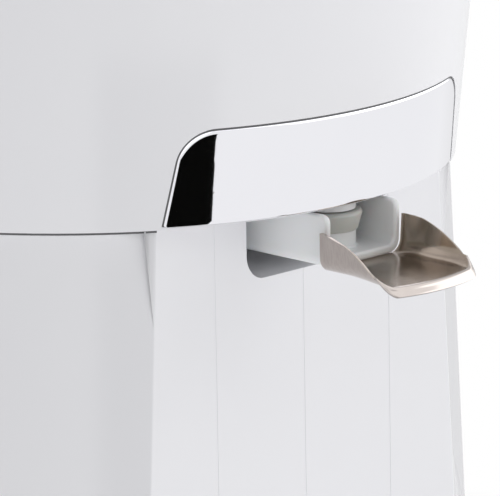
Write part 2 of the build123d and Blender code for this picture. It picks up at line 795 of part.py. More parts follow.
def build_switch_plunger():
    return disc(plunger_r, (switch_top + switch_low) / 2, plunger_top, 0, -plunger_y)


def build_switch_screws():
    screws = []
    for x, z in switch_screw_places():
        shank = disc(switch_screw_r, 0, switch_d + bracket_t)
        head = disc(switch_screw_head_r, -switch_screw_head_h, 0)
        screws.append(Pos(x, -switch_front, z) * Rot(90, 0, 0) * (shank + head))
    return Compound(children=screws)


# ---- Motor --------------------------------------------------------------------
def build_motor_stator():
    stack = fillet(Rectangle(stack_side, stack_side).vertices(), corner_inset / 2) - Circle(stack_bore_r)
    stator = prism(Pos(motor_x, motor_y) * stack, stack_bottom, stack_top)
    for x, y in motor_corners():
        stator -= disc(motor_screw_r, stack_bottom - 1, stack_top + 1, x, y)
    return stator


def build_motor_windings():
    upper = tube(winding_out_r, winding_in_r, stack_top, stack_top + winding_h, motor_x, motor_y)
    lower = tube(winding_out_r, winding_in_r, stack_bottom - winding_h, stack_bottom, motor_x, motor_y)
    upper = fillet(upper.edges().group_by(Axis.Z)[-1], winding_round)
    return Compound(children=[upper, fillet(lower.edges().group_by(Axis.Z)[0], winding_round)])


def build_motor_bracket(way):
    """End bracket above (way 1) or below (way -1) the stack."""
    face = stack_top if way > 0 else stack_bottom
    inner, outer = face + way * bracket_gap, face + way * (bracket_gap + bracket_t)
    plate = Pos(motor_x, motor_y) * fillet(Rectangle(stack_side, stack_side).vertices(), corner_inset / 2)
    bracket = prism(plate, *sorted((inner, outer)))
    for x, y in motor_corners():
        bracket += disc(post_rad, *sorted((face, inner)), x, y)
    nose = sorted(bearing_span(way))
    bracket += disc(bearing_r + bearing_wall, *nose, motor_x, motor_y)
    bracket -= disc(bearing_r, nose[0] - 1, nose[1] + 1, motor_x, motor_y)
    for x, y in motor_corners():
        bracket -= disc(motor_screw_r, *sorted((face - way, outer + way)), x, y)
    return bracket


def bearing_span(way):
    face = stack_top if way > 0 else stack_bottom
    start = face + way * (bracket_gap + bracket_t - bearing_h + bearing_nose)
    return start, start + way * bearing_h


def build_motor_bearings():
    spans = [sorted(bearing_span(way)) for way in (1, -1)]
    inner = motor_shaft_r + run_fit
    return Compound(children=[tube(bearing_r, inner, *span, motor_x, motor_y) for span in spans])


def build_motor_mounts():
    posts = [tube(post_rad, motor_screw_r, mount_low, case_z, x, y) for x, y in motor_corners()]
    return Compound(children=posts)


def build_motor_screws():
    head = stack_bottom - bracket_gap - bracket_t
    return Compound(children=[screw(x, y, head, case_top, motor_screw_r) for x, y in motor_corners()])


def build_motor_rotor():
    low, high = stack_bottom - rotor_over, stack_top + rotor_over
    return tube(stack_bore_r - air_gap, motor_shaft_r, low, high, motor_x, motor_y)


def build_motor_shaft():
    return disc(motor_shaft_r, motor_shaft_low, pinion_top + slide_gap, motor_x, motor_y)


def build_motor_fan():
    hub = 2 * motor_shaft_r
    web = disc(fan_r, fan_z, fan_z + blade_t) + disc(hub, fan_z, fan_z + fan_h)
    blade = block(hub - blade_t / 2, fan_r - blade_t / 2, -blade_t / 2, blade_t / 2, fan_z, fan_z + fan_h)
    for number in range(fan_blades):
        web += Rot(0, 0, 360 * number / fan_blades) * blade
    return Pos(motor_x, motor_y, 0) * (web - disc(motor_shaft_r, fan_z - 1, fan_z + fan_h + 1))


def build_terminal_block():
    x0, y0 = terminal_x - terminal_w / 2, terminal_y - terminal_d / 2
    box = block(x0, x0 + terminal_w, y0, y0 + terminal_d, base_top, base_top + terminal_h)
    for number in range(3):
        x = terminal_x + (number - 1) * terminal_w / 3
        top = base_top + terminal_h
        box -= disc(terminal_hole_r, top - terminal_hole_h, top + 1, x, terminal_y)
    return box


# ---- Spout arm ----------------------------------------------------------------
def build_spout_arm():
    back = pivot_d - pivot_drop * 0.75
    side = Plane.YZ * Polygon((-arm_reach, arm_low), (-back, arm_low), (-back, pivot_z + pivot_r),
                              (-pivot_d - pivot_r, arm_top), (-arm_reach, arm_top), align=None)
    body = extrude(side, arm_half_w, both=True)
    uprights = [e for e in body.edges() if abs(e.center().X) < 0.01]
    body = fillet([e for e in uprights if e.center().Z > pivot_z and e.center().Y < -nozzle_d], arm_corner_r)
    inner = arm_half_w - arm_wall
    trough = block(-inner, inner, -arm_reach - 1, -pivot_d - 2 * pivot_r, arm_low + arm_floor_t, arm_top + 1)
    trough = fillet([e for e in trough.edges().filter_by(Axis.Y) if e.center().Z < pivot_z], arm_wall)
    lower = [e for e in body.edges().filter_by(Axis.Y) if e.center().Z < arm_low + 1]
    body = fillet(lower, arm_edge_r) - trough
    body += across(2 * pivot_r, 2 * hub_reach)
    body += disc(post_r, arm_low + arm_floor_t / 2, cap_low, 0, -nozzle_d)
    body += disc(cap_core_r, cap_low, cap_top - cap_lid_t, 0, -nozzle_d)
    return body - across(pivot_r + run_fit, 4 * slot_half_w)


def build_pivot_washers():
    middle = (hub_reach + slot_half_w - slide_gap) / 2
    width = slot_half_w - slide_gap - hub_reach
    ring = across(2 * pivot_r, width) - across(pivot_r + run_fit, 2 * width)
    return Compound(children=[Pos(side * middle, 0, 0) * ring for side in (-1, 1)])


def build_pivot_pin():
    return across(pivot_r, 2 * (slot_half_w + well_wall + 1))


def build_valve_cap():
    cap = turned([(cap_core_r, cap_low), (cap_low_r, cap_low), (cap_top_r, cap_top - cap_edge),
                  (cap_top_r - cap_edge, cap_top), (0, cap_top), (0, cap_top - cap_lid_t),
                  (cap_core_r, cap_top - cap_lid_t)])
    return Pos(0, -nozzle_d, 0) * cap


def tip_section(inset):
    """Front view of the tip's trough, open at the top, inset from its outer face."""
    half, low, high = tip_out - inset, tip_floor + inset, tip_floor + tip_rise
    face = Polygon((-half, low), (half, low), (half, high), (-half, high), align=None)
    lower = [v for v in face.vertices() if v.Y < (low + high) / 2]
    return fillet(lower, tip_corner_r - inset)


def tip_profile():
    """Side view of the tip: level walls at the arm, then falling to the pouring edge."""
    high, low, front = tip_floor + tip_rise, tip_floor - tip_lip_h, -tip_reach - 1
    return Plane.YZ * Polygon((front, low - 1), (-tip_back + 1, low - 1), (-tip_back + 1, high + 1),
                              (-tip_back, high), (-tip_back - tip_flat, high), (front, tip_floor + tip_wall),
                              align=None)


def tip_lip():
    """Turned-down pouring edge: a thin bowed wall from the trough's sides to below its floor."""
    low, bow_y = tip_floor - tip_lip_h, -tip_reach + tip_bow_r
    face = Polygon((-tip_out, low), (tip_out, low), (tip_out, tip_floor + tip_rise),
                   (-tip_out, tip_floor + tip_rise), align=None)
    lower = [v for v in face.vertices() if v.Y < tip_floor]
    face = fillet(lower, tip_lip_corner_r) - tip_section(tip_wall)
    wall = tube(tip_bow_r, tip_bow_r - tip_wall, low, tip_floor + tip_rise, 0, bow_y)
    return wall & along_y(face, -tip_reach - 1, -tip_back - tip_length / 2)


def build_spout_tip():
    trough = along_y(tip_section(0), -tip_reach, -tip_back)
    trough -= along_y(tip_section(tip_wall), -tip_reach - 1, 0)
    trough &= disc(tip_bow_r, tip_floor - 1, tip_floor + tip_rise + 1, 0, -tip_reach + tip_bow_r)
    sheet = (trough + tip_lip()) & extrude(tip_profile(), 2 * tip_out, both=True)
    tongue_back = -tip_back + tongue_length
    return sheet + block(-tongue_half_w, tongue_half_w, -tip_back - 1, tongue_back, tip_floor, arm_low)


# ---- Bowl, strainer, cone and cover -------------------------------------------
def build_juice_bowl():
    floor = bowl_floor_z + bowl_wall
    base_out = upper_radius(bowl_floor_z, upper_wall + bowl_gap)
    bowl = turned([(bowl_tube_r, bowl_floor_z), (base_out, bowl_floor_z), (bowl_top_r, flange_z),
                   (rim_flange_r, flange_z), (rim_flange_r, flange_top), (bowl_top_r - bowl_wall, flange_top),
                   (base_out - bowl_wall, floor), (bowl_tube_out, floor), (bowl_tube_out, bowl_tube_top),
                   (bowl_tube_r, bowl_tube_top)])
    rim = [e for e in bowl.edges().filter_by(GeomType.CIRCLE) if e.radius > bowl_top_r]
    bowl = fillet([e for e in rim if e.center().Z > flange_z], flange_round)
    bowl += disc(nozzle_r, nozzle_low, bowl_floor_z + bowl_wall / 2, 0, -nozzle_d)
    return bowl - disc(nozzle_bore_r, nozzle_low - 1, floor + 1, 0, -nozzle_d)


def build_strainer():
    floor, mouth = strainer_floor_z, strainer_mouth_r
    wall = strainer_wall
    dish = turned([(collar_in, floor), (strainer_foot_r, floor), (mouth, flange_top - wall),
                   (mouth, flange_top), (strainer_r, flange_top), (strainer_r, flange_top + wall),
                   (mouth - wall, flange_top + wall), (mouth - wall, flange_top),
                   (strainer_foot_r - wall, floor + wall), (collar_r, floor + wall), (collar_r, collar_top),
                   (collar_in, collar_top)])
    for count, width, start, end in strainer_slot_rows():
        slot = Pos((start + end) / 2, 0) * SlotOverall(end - start, width)
        turns = [Rot(0, 0, 360 * n / count) * slot for n in range(count)]
        cutters = [prism(turn, floor - 1, floor + wall + 1) for turn in turns]
        dish -= cutters
    return dish


def strainer_slot_rows():
    """(count, width, inner end, outer end) of the two rings of radial slots."""
    middle = (collar_r + strainer_foot_r - slot_row_gap / 3) / 2
    return [(outer_slots, outer_slot_w, middle + slot_row_gap / 2, strainer_foot_r - slot_margin),
            (inner_slots, inner_slot_w, collar_r + slot_margin, middle - slot_row_gap / 2)]


def build_cone_ring():
    return tube(collar_in + cone_ring_w, collar_in, ring_z, ring_top)


def ogive(base, low, tip):
    """Pointed dome: an arc from the base circle up to a small flat tip."""
    blunt = base * ogive_tip
    bulge = (base * ogive_bulge, low + (tip - low) * ogive_height)
    arc = ThreePointArc((base, low), bulge, (blunt, tip))
    rest = Polyline((blunt, tip), (0, tip), (0, low), (base, low))
    return revolve(make_face(Plane.XZ * (arc + rest)), Axis.Z)


def build_cone():
    skirt_top = cone_bottom + cone_skirt_t
    shell = ogive(cone_r, cone_bottom, cone_tip) + disc(cone_skirt_r, cone_bottom, skirt_top)
    big = ogive(cone_r + rib_rise, cone_bottom, cone_tip + rib_rise)
    for number in range(rib_count):
        blade = block(0, cone_skirt_r, -rib_t / 2, rib_t / 2, cone_bottom, cone_tip + rib_rise)
        shell += big & (Rot(0, 0, 360 * number / rib_count) * blade)
    shell -= ogive(cone_r - cone_wall, cone_bottom - 1, cone_tip - 2 * cone_wall)
    core = disc(socket_r + cone_wall, socket_low, cone_tip - 3 * cone_wall)
    core += disc(cone_r, socket_low, socket_low + cone_skirt_t)
    shell += core & ogive(cone_r, cone_bottom, cone_tip)
    return shell - disc(socket_r, socket_low - 1, socket_low + socket_h)


def build_cone_socket():
    hexagon = RegularPolygon(hex_af / 2 + 2 * run_fit, 6, major_radius=False)
    bore = prism(hexagon, socket_low - 1, shaft_top + slide_gap)
    return disc(socket_r, socket_low, socket_low + socket_h) - bore


def cover_skin(inset):
    """Outline of the cover's skin: side, rounded shoulder and shallow crown, tangent to each other."""
    radius, height = rim_flange_r, cover_top - cover_z - cover_side_h
    side_top, across = cover_z + cover_side_h, radius - cover_shoulder_r
    crown_r = (across**2 + height**2 - cover_shoulder_r**2) / (2 * (height - cover_shoulder_r))
    crown_z = cover_top - crown_r
    lean = atan2(side_top - crown_z, across)
    shoulder, crown = cover_shoulder_r - inset, crown_r - inset
    turn = [(across + shoulder * cos(a), side_top + shoulder * sin(a)) for a in (0, lean / 2, lean)]
    top = [(crown * cos(a), crown_z + crown * sin(a)) for a in (lean, (lean + pi / 2) / 2)]
    return ThreePointArc(*turn) + ThreePointArc(*top, (0, crown_z + crown))


def build_dust_cover():
    low, side_top = cover_z + cover_gap, cover_z + cover_side_h
    outer, inner = rim_flange_r, rim_flange_r - cover_wall
    middle = Line((0, cover_top), (0, cover_top - cover_wall))
    foot = Polyline((inner, side_top), (inner, low), (outer, low), (outer, side_top))
    return revolve(make_face(Plane.XZ * (cover_skin(0) + middle + cover_skin(cover_wall) + foot)), Axis.Z)


# ---- Export -------------------------------------------------------------------
pieces = {
    "lower_housing": build_lower_housing(),
    "upper_housing": build_upper_housing(),
    "chrome_band": build_chrome_band(),
    "base_plate": build_base_plate(),
    "rubber_feet": build_rubber_feet(),
    "base_screws": build_base_screws(),
    "housing_screws": build_housing_screws(),
    "cord_bush": build_cord_bush(),
    "gearbox_case": build_gearbox_case(),
    "gearbox_lid": build_gearbox_lid(),
    "gearbox_screws": build_gearbox_screws(),
    "idler_pin": build_idler_pin(),
    "lower_bush": build_lower_bush(),
    "upper_bush": build_upper_bush(),
    "shaft_seal": build_shaft_seal(),
    "output_gear": build_output_gear(),
    "idler_gear": build_idler_gear(),
    "motor_pinion": build_motor_pinion(),
    "drive_shaft": build_drive_shaft(),
    "shaft_clip": build_shaft_clip(),
    "thrust_cup": build_thrust_cup(),
    "return_spring": build_return_spring(),
    "spring_seat": build_spring_seat(),
    "switch_body": build_switch_body(),
    "switch_plunger": build_switch_plunger(),
    "switch_screws": build_switch_screws(),
    "motor_stator": build_motor_stator(),
    "motor_windings": build_motor_windings(),
    "motor_top_bracket": build_motor_bracket(1),
    "motor_bottom_bracket": build_motor_bracket(-1),
    "motor_bearings": build_motor_bearings(),
    "motor_mounts": build_motor_mounts(),
    "motor_screws": build_motor_screws(),
    "motor_rotor": build_motor_rotor(),
    "motor_shaft": build_motor_shaft(),
    "motor_fan": build_motor_fan(),
    "terminal_block": build_terminal_block(),
    "pivot_pin": build_pivot_pin(),
    "spout_arm": build_spout_arm(),
    "pivot_washers": build_pivot_washers(),
    "valve_cap": build_valve_cap(),
    "spout_tip": build_spout_tip(),
    "juice_bowl": build_juice_bowl(),
    "strainer": build_strainer(),
    "cone_ring": build_cone_ring(),
    "cone": build_cone(),
    "cone_socket": build_cone_socket(),
    "dust_cover": build_dust_cover(),
}

os.makedirs("parts", exist_ok=True)
for name, piece in pieces.items():
    export_step(Pos(0, axis_y, 0) * piece, f"parts/{name}.step")
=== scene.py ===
"""Looks of an electric citrus juicer: finishes, detailed pieces, studio and camera.

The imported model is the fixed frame. Pieces are worked out in metres, in the frame's own
axes: +Z up, -Y to the front, where the spout points.
"""

import json
import logging
import math
from dataclasses import dataclass
from enum import Enum
from typing import Any, Callable, Sequence

import bmesh
import bpy
import numpy as np
from bpy.types import Material, Node, NodeSocket, NodeTree, Object
from mathutils import Matrix, Vector


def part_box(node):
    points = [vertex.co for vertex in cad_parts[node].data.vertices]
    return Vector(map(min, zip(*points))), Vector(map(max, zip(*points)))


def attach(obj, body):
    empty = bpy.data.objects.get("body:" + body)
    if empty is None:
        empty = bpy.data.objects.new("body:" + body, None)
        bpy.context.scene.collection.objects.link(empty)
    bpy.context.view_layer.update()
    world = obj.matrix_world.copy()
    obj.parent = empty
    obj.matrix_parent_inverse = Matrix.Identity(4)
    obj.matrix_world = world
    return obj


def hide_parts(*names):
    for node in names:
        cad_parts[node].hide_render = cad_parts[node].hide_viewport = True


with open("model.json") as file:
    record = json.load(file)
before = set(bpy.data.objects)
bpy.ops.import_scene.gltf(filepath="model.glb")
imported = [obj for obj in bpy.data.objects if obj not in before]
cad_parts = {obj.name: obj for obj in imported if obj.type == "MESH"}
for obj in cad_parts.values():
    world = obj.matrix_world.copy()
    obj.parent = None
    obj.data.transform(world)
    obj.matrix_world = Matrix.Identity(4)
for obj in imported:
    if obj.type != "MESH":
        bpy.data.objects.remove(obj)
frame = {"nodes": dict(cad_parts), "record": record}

log = logging.getLogger("juicer")
MM = 0.001
UP = np.array([0.0, 0.0, 1.0])
WELD = 1e-6
ON_SKIN = 0.03       # how near a point is to a surface that it lies on, in millimetres
SKIN_TURN = 25.0     # and how far a face may be turned from it, in degrees


# ---- Shapes ---------------------------------------------------------------------
@dataclass
class Shape:
    """Points and faces of a piece, in metres."""

    points: np.ndarray
    faces: list[tuple[int, ...]]

    def __add__(self, other: "Shape") -> "Shape":
        """Both shapes as one."""
        start = len(self.points)
        moved = [tuple(i + start for i in face) for face in other.faces]
        return Shape(np.vstack([self.points, other.points]), self.faces + moved)


def woven(grid: np.ndarray, close_u: bool = False, close_v: bool = False) -> Shape:
    """Quads between the neighbours of a grid of points.

    Args:
        grid: Points with shape (rows, columns, 3), in millimetres.
        close_u: Whether the last row joins the first.
        close_v: Whether the last column joins the first.

    Returns:
        The shape, in metres.
    """
    rows, columns = grid.shape[:2]
    u = np.arange(rows if close_u else rows - 1)[:, None]
    v = np.arange(columns if close_v else columns - 1)[None, :]
    u1, v1 = (u + 1) % rows, (v + 1) % columns
    quads = np.stack([u * columns + v, u * columns + v1, u1 * columns + v1, u1 * columns + v], axis=-1)
    return Shape(grid.reshape(-1, 3) * MM, [tuple(q) for q in quads.reshape(-1, 4).tolist()])


def capped(grid: np.ndarray) -> Shape:
    """Closed rings of points woven into a tube, with a face over each end."""
    shape = woven(grid, close_v=True)
    rows, columns = grid.shape[:2]
    first = tuple(range(columns))
    last = tuple(range((rows - 1) * columns, rows * columns))
    return Shape(shape.points, shape.faces + [first[::-1], last])


def turned(profile: np.ndarray, x: float, y: float, turns: int = 96) -> Shape:
    """Closed profile carried round an upright axis.

    A point (r, z) of the profile goes to (x + r cos a, y + r sin a, z) for each angle a.

    Args:
        profile: Closed list of (radius, height), in millimetres.
        x: Place of the axis.
        y: Place of the axis.
        turns: Number of steps round the axis.

    Returns:
        The closed shape.
    """
    angle = np.linspace(0, 2 * np.pi, turns, endpoint=False)[None, :]
    r, z = profile[:, :1], profile[:, 1:]
    grid = np.stack([x + r * np.cos(angle), y + r * np.sin(angle), z + 0 * angle], axis=-1)
    return woven(grid, close_u=True, close_v=True)


def unit(vectors: np.ndarray) -> np.ndarray:
    """Each row at length one."""
    return vectors / np.linalg.norm(vectors, axis=1)[:, None]


def arc(centre: tuple[float, float], radius: float, start: float, end: float, steps: int = 8) -> np.ndarray:
    """Points on a circle, from one angle to another in degrees."""
    angle = np.radians(np.linspace(start, end, steps + 1))
    return np.stack([centre[0] + radius * np.cos(angle), centre[1] + radius * np.sin(angle)], axis=-1)


def eased(value: np.ndarray, low: float, high: float) -> np.ndarray:
    """Smooth step from 0 at low to 1 at high: 3t^2 - 2t^3 of the share t between them."""
    share = np.clip((value - low) / (high - low), 0, 1)
    return share * share * (3 - 2 * share)


def finished(piece: Object, crease: float) -> None:
    """Welds a piece's doubles, turns its faces outwards and smooths it up to an angle in degrees."""
    stored = piece.data.attributes.get("custom_normal")
    if stored:
        piece.data.attributes.remove(stored)
    work = bmesh.new()
    work.from_mesh(piece.data)
    bmesh.ops.remove_doubles(work, verts=work.verts, dist=WELD)
    bmesh.ops.dissolve_degenerate(work, edges=work.edges, dist=WELD)
    bmesh.ops.recalc_face_normals(work, faces=work.faces)
    work.to_mesh(piece.data)
    work.free()
    piece.data.shade_smooth()
    piece.data.set_sharp_from_angle(angle=math.radians(crease))


def linked(name: str, shape: Shape) -> Object:
    """Object of a shape, linked to the scene."""
    mesh = bpy.data.meshes.new(name)
    mesh.from_pydata(shape.points.tolist(), [], shape.faces)
    made = bpy.data.objects.new(name, mesh)
    bpy.context.scene.collection.objects.link(made)
    return made


def new_piece(name: str, shape: Shape, slot: str, crease: float = 40.0,
              coats: Sequence[int] = ()) -> Object:
    """Makes a shape an object of the scene, dressed in a slot's finish.

    Args:
        name: Name of the piece.
        shape: Its points and faces.
        slot: Material slot of the record.
        crease: Angle in degrees above which an edge stays sharp.
        coats: Which of the piece's materials each face takes, where it has more than one.

    Returns:
        The new object.
    """
    piece = linked(name, shape)
    if coats:
        piece.data.polygons.foreach_set("material_index", coats)
    finished(piece, crease)
    piece.data.materials.append(finish_of(slot))
    return piece


def smooth_copy(node: str, body: str, slot: str, crease: float = 30.0) -> Object:
    """Welded copy of a CAD node with smooth curved faces, which stands for the node."""
    piece = frame["nodes"][node].copy()
    piece.data = piece.data.copy()
    piece.name = node + "_skin"
    piece.parent = None
    for key in list(piece.keys()):
        del piece[key]
    bpy.context.scene.collection.objects.link(piece)
    piece.data.materials.clear()
    finished(piece, crease)
    piece.data.materials.append(finish_of(slot))
    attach(piece, body)
    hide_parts(node)
    return piece


def points_of(piece: Object) -> np.ndarray:
    """Points of a piece's mesh, in millimetres."""
    points = np.empty(3 * len(piece.data.vertices))
    piece.data.vertices.foreach_get("co", points)
    return points.reshape(-1, 3) / MM


def move(piece: Object, points: np.ndarray) -> None:
    """Puts a piece's points, in millimetres, in new places."""
    piece.data.vertices.foreach_set("co", (points * MM).ravel())
    piece.data.update()


Surface = Callable[[np.ndarray], tuple[np.ndarray, np.ndarray]]


def exact_normals(piece: Object, surfaces: Sequence[Surface], drawn: np.ndarray) -> None:
    """Shades a piece by the true normals of the surfaces that its corners lie on.

    A corner takes a surface's normal where its point is on the surface and its face is turned
    little from it. All others keep their smoothed normal.

    Args:
        piece: A welded, smoothed piece.
        surfaces: Each gives the distance of points, in millimetres, and its normals there.
        drawn: The piece's points, in millimetres, before any were moved.
    """
    mesh = piece.data
    corners = np.empty(len(mesh.loops), dtype=np.int32)
    mesh.loops.foreach_get("vertex_index", corners)
    points = drawn[corners]
    normals = np.empty(3 * len(corners))
    mesh.corner_normals.foreach_get("vector", normals)
    normals = normals.reshape(-1, 3)
    facing = np.empty(3 * len(mesh.polygons))
    mesh.polygons.foreach_get("normal", facing)
    sizes = np.empty(len(mesh.polygons), dtype=np.int32)
    mesh.polygons.foreach_get("loop_total", sizes)
    facing = np.repeat(facing.reshape(-1, 3), sizes, axis=0)
    for surface in surfaces:
        gap, true = surface(points)
        near = (np.abs(gap) < ON_SKIN) & ((facing * true).sum(axis=1) > math.cos(math.radians(SKIN_TURN)))
        normals[near] = true[near]
    mesh.normals_split_custom_set(normals.tolist())


# ---- Finishes ---------------------------------------------------------------------
PREFIX = "ShaderNode"


def linear(colour: str) -> tuple[float, float, float, float]:
    """sRGB hex such as "#EEEEF1" as linear red, green, blue and alpha."""
    values = [int(colour[i:i + 2], 16) / 255 for i in (1, 3, 5)]
    red, green, blue = [v / 12.92 if v <= 0.04045 else ((v + 0.055) / 1.055) ** 2.4 for v in values]
    return red, green, blue, 1.0


def add(tree: NodeTree, kind: str, settings: dict[str, Any], inputs: dict[Any, Any]) -> Node:
    """Adds one shader node.

    Args:
        tree: Node tree that takes it.
        kind: Blender's name of the node type, after "ShaderNode".
        settings: Attributes of the node.
        inputs: Value, or output socket to link, for each input's name or number.

    Returns:
        The node.
    """
    made = tree.nodes.new(PREFIX + kind)
    for key, value in settings.items():
        setattr(made, key, value)
    for key, value in inputs.items():
        if isinstance(value, NodeSocket):
            tree.links.new(value, made.inputs[key])
        else:
            made.inputs[key].default_value = value
    return made


def blank_material(name: str) -> Material:
    """Node material that has no nodes yet."""
    made = bpy.data.materials.new(name)
    made.use_nodes = True
    made.node_tree.nodes.clear()
    return made


class Grain(Enum):
    """Direction in which a surface's fine marks are drawn out."""

    EVEN = (1.0, 1.0, 1.0)
    ALONG_X = (0.06, 1.0, 1.0)
    ALONG_Z = (1.0, 1.0, 0.06)
    LEVEL = (0.04, 0.04, 1.0)


@dataclass(frozen=True)
class Finish:
    """A finish: its colour, and how its fine texture and slow variation change it.

    grain_mm is the spacing of the fine marks, depth_mm how deep they go, and patch_mm the
    size of the slow changes in tone and gloss. gloss_spread is how much the roughness varies.
    """

    name: str
    colour: str
    tone: str
    roughness: float
    ior: float = 1.5
    metallic: float = 0.0
    grain_mm: float = 0.8
    depth_mm: float = 0.004
    patch_mm: float = 45.0
    gloss_spread: float = 0.05
    grain: Grain = Grain.EVEN
    coat: float = 0.0
    coat_roughness: float = 0.05
    specular: float = 0.5
    subsurface: float = 0.0
    transmission: float = 0.0

    def material(self) -> Material:
        """The finish as a node material.

        The base colour goes from colour to tone, and the roughness up and down by
        gloss_spread, as slow noise does. Fine noise, stretched along the grain, is the bump.
        """
        made = blank_material(self.name)
        tree = made.node_tree
        place = add(tree, "TexCoord", {}, {}).outputs["Object"]
        patches = add(tree, "TexNoise", {}, {
            "Vector": place, "Scale": 1 / (self.patch_mm * MM), "Detail": 3.0}).outputs["Fac"]
        fine = self.fine_marks(tree, place)
        colour = add(tree, "Mix", {"data_type": "RGBA"}, {
            0: self.tone_share(tree, patches, fine), 6: linear(self.colour), 7: linear(self.tone)})
        gloss = add(tree, "MapRange", {}, {
            "Value": patches, 3: self.roughness - self.gloss_spread, 4: self.roughness + self.gloss_spread})
        bump = add(tree, "Bump", {}, {
            "Height": fine, "Distance": self.depth_mm * MM, "Strength": 1.0})
        shader = add(tree, "BsdfPrincipled", {}, {
            "Base Color": colour.outputs[2], "Roughness": gloss.outputs[0], "Normal": bump.outputs[0],
            "IOR": self.ior, "Metallic": self.metallic, "Coat Weight": self.coat,
            "Coat Roughness": self.coat_roughness, "Specular IOR Level": self.specular,
            "Subsurface Weight": self.subsurface, "Subsurface Scale": MM,
            "Transmission Weight": self.transmission})
        add(tree, "OutputMaterial", {}, {"Surface": shader.outputs[0]})
        return made

    def fine_marks(self, tree: NodeTree, place: NodeSocket) -> NodeSocket:
        """Fine noise drawn out along the grain."""
        stretched = add(tree, "Mapping", {}, {"Vector": place, "Scale": self.grain.value})
        return add(tree, "TexNoise", {}, {
            "Vector": stretched.outputs[0], "Scale": 1 / (self.grain_mm * MM), "Detail": 4.0}).outputs["Fac"]

    def tone_share(self, tree: NodeTree, patches: NodeSocket,
                   fine: NodeSocket) -> NodeSocket:
        """Share of the second tone: the slow noise alone."""
        return patches


@dataclass(frozen=True)
class MarkedFinish(Finish):
    """A finish whose fine marks show as tone too, as brushing, pores or dust do."""

    def tone_share(self, tree: NodeTree, patches: NodeSocket,
                   fine: NodeSocket) -> NodeSocket:
        """Share of the second tone: the fine marks, with their contrast raised."""
        return add(tree, "MapRange", {"interpolation_type": "SMOOTHSTEP"}, {
            "Value": fine, 1: 0.38, 2: 0.62}).outputs[0]


@dataclass(frozen=True)
class LayeredFinish(MarkedFinish):
    """A finish of stacked sheets or wound wire: level lines grain_mm apart."""

    def fine_marks(self, tree: NodeTree, place: NodeSocket) -> NodeSocket:
        """Level waves up the piece; a wave texture of scale s has 10 s / pi lines in each metre."""
        scale = math.pi / 10 / (self.grain_mm * MM)
        return add(tree, "TexWave", {"bands_direction": "Z", "wave_profile": "SIN"}, {
            "Vector": place, "Scale": scale, "Distortion": 0.4, "Detail": 1.0}).outputs["Fac"]


# Glossy injection-moulded ABS: a cool white with a faint ripple in its gloss.
GLOSS_ABS = Finish("abs_gloss_moulded", "#EFEFF2", "#EBEBEF", 0.16, ior=1.54, grain_mm=5.0,
                   depth_mm=0.0015, patch_mm=60.0, gloss_spread=0.03)
# Bright chrome plate over moulded plastic: a mirror with barely any haze.
CHROME_PLATE = Finish("chrome_plated_abs", "#F4F4F8", "#F0F0F5", 0.03, metallic=1.0, grain_mm=9.0,
                      depth_mm=0.0008, patch_mm=30.0, gloss_spread=0.01)
# Satin polypropylene: white, softer highlights and a fine moulded texture.
SATIN_PP = Finish("polypropylene_satin_moulded", "#EAEBEC", "#E5E7E8", 0.38, ior=1.49, grain_mm=0.6,
                  depth_mm=0.003, patch_mm=25.0, subsurface=0.08)
# Etched grey ABS of the base: a spark-eroded grain that scatters highlights.
BASE_ABS = Finish("abs_grey_etched", "#5F5F61", "#58585A", 0.55, ior=1.54, grain_mm=0.5, depth_mm=0.02)
# Moulded EPDM rubber: near black, dull, with a dusty bloom.
RUBBER = MarkedFinish("epdm_rubber_moulded", "#232323", "#2E2E2D", 0.75, ior=1.52, grain_mm=0.4,
                      depth_mm=0.01, specular=0.35)
# Translucent silicone: grey, soft, with light carried a little way inside.
SILICONE = Finish("silicone_translucent_grey", "#C2C3BF", "#BCBDB9", 0.42, ior=1.41, grain_mm=0.5,
                  depth_mm=0.004, patch_mm=12.0, subsurface=0.25)
# Polished stainless sheet: a warm mirror with faint drawn lines from polishing.
STEEL_SHEET = MarkedFinish("stainless_sheet_polished", "#C0B7B1", "#B9B0AA", 0.1, metallic=1.0,
                           grain_mm=0.5, depth_mm=0.0012, patch_mm=8.0, gloss_spread=0.04,
                           grain=Grain.ALONG_Z)
# The same sheet inside the trough, as a darker copy that paints the shade in the trough, in cloudy patches of a
# darker olive brown, and rougher.
STEEL_PAINTED_SHADE = Finish("stainless_sheet_painted_shade", "#A3968A", "#8B7F71", 0.2, metallic=1.0, grain_mm=0.6,
                      depth_mm=0.002, patch_mm=4.0, gloss_spread=0.08)
# Its turned-over lip, rubbed bright by wiping: pale and nearly even.
STEEL_LIP = Finish("stainless_sheet_wiped", "#BDB5B1", "#B5ADA8", 0.14, metallic=1.0, grain_mm=0.6,
                   depth_mm=0.001, patch_mm=5.0, gloss_spread=0.04)
# Food-grade glossy polypropylene of the bowl and cone.
BOWL_PP = Finish("polypropylene_gloss_moulded", "#EDEDEE", "#E8E8EA", 0.24, ior=1.49, grain_mm=2.0,
                 depth_mm=0.002)
# Clear styrene-acrylonitrile of the cover, tinted very slightly grey.
CLEAR_SAN = Finish("san_clear_moulded", "#F4F7F8", "#EEF2F4", 0.03, ior=1.57, grain_mm=12.0,
                   depth_mm=0.001, gloss_spread=0.01, transmission=1.0)
# Natural acetal of the gears: waxy ivory with slight translucency.
ACETAL = Finish("acetal_natural_machined", "#E4DFCB", "#DAD4BD", 0.35, ior=1.48, grain_mm=0.3,
                depth_mm=0.003, subsurface=0.15)
# Glass-filled nylon of the gearbox: dark grey, with fibres that grey its skin.
GLASS_NYLON = MarkedFinish("nylon_glass_filled", "#3B3C3E", "#464749", 0.5, ior=1.53, grain_mm=0.35,
                           depth_mm=0.006, grain=Grain.ALONG_X)
# Ground carbon steel of pins and shafts, with fine rings from grinding.
GROUND_STEEL = MarkedFinish("steel_ground", "#B7B8BB", "#A4A5A9", 0.28, metallic=1.0, grain_mm=0.4,
                            depth_mm=0.001, grain=Grain.LEVEL)
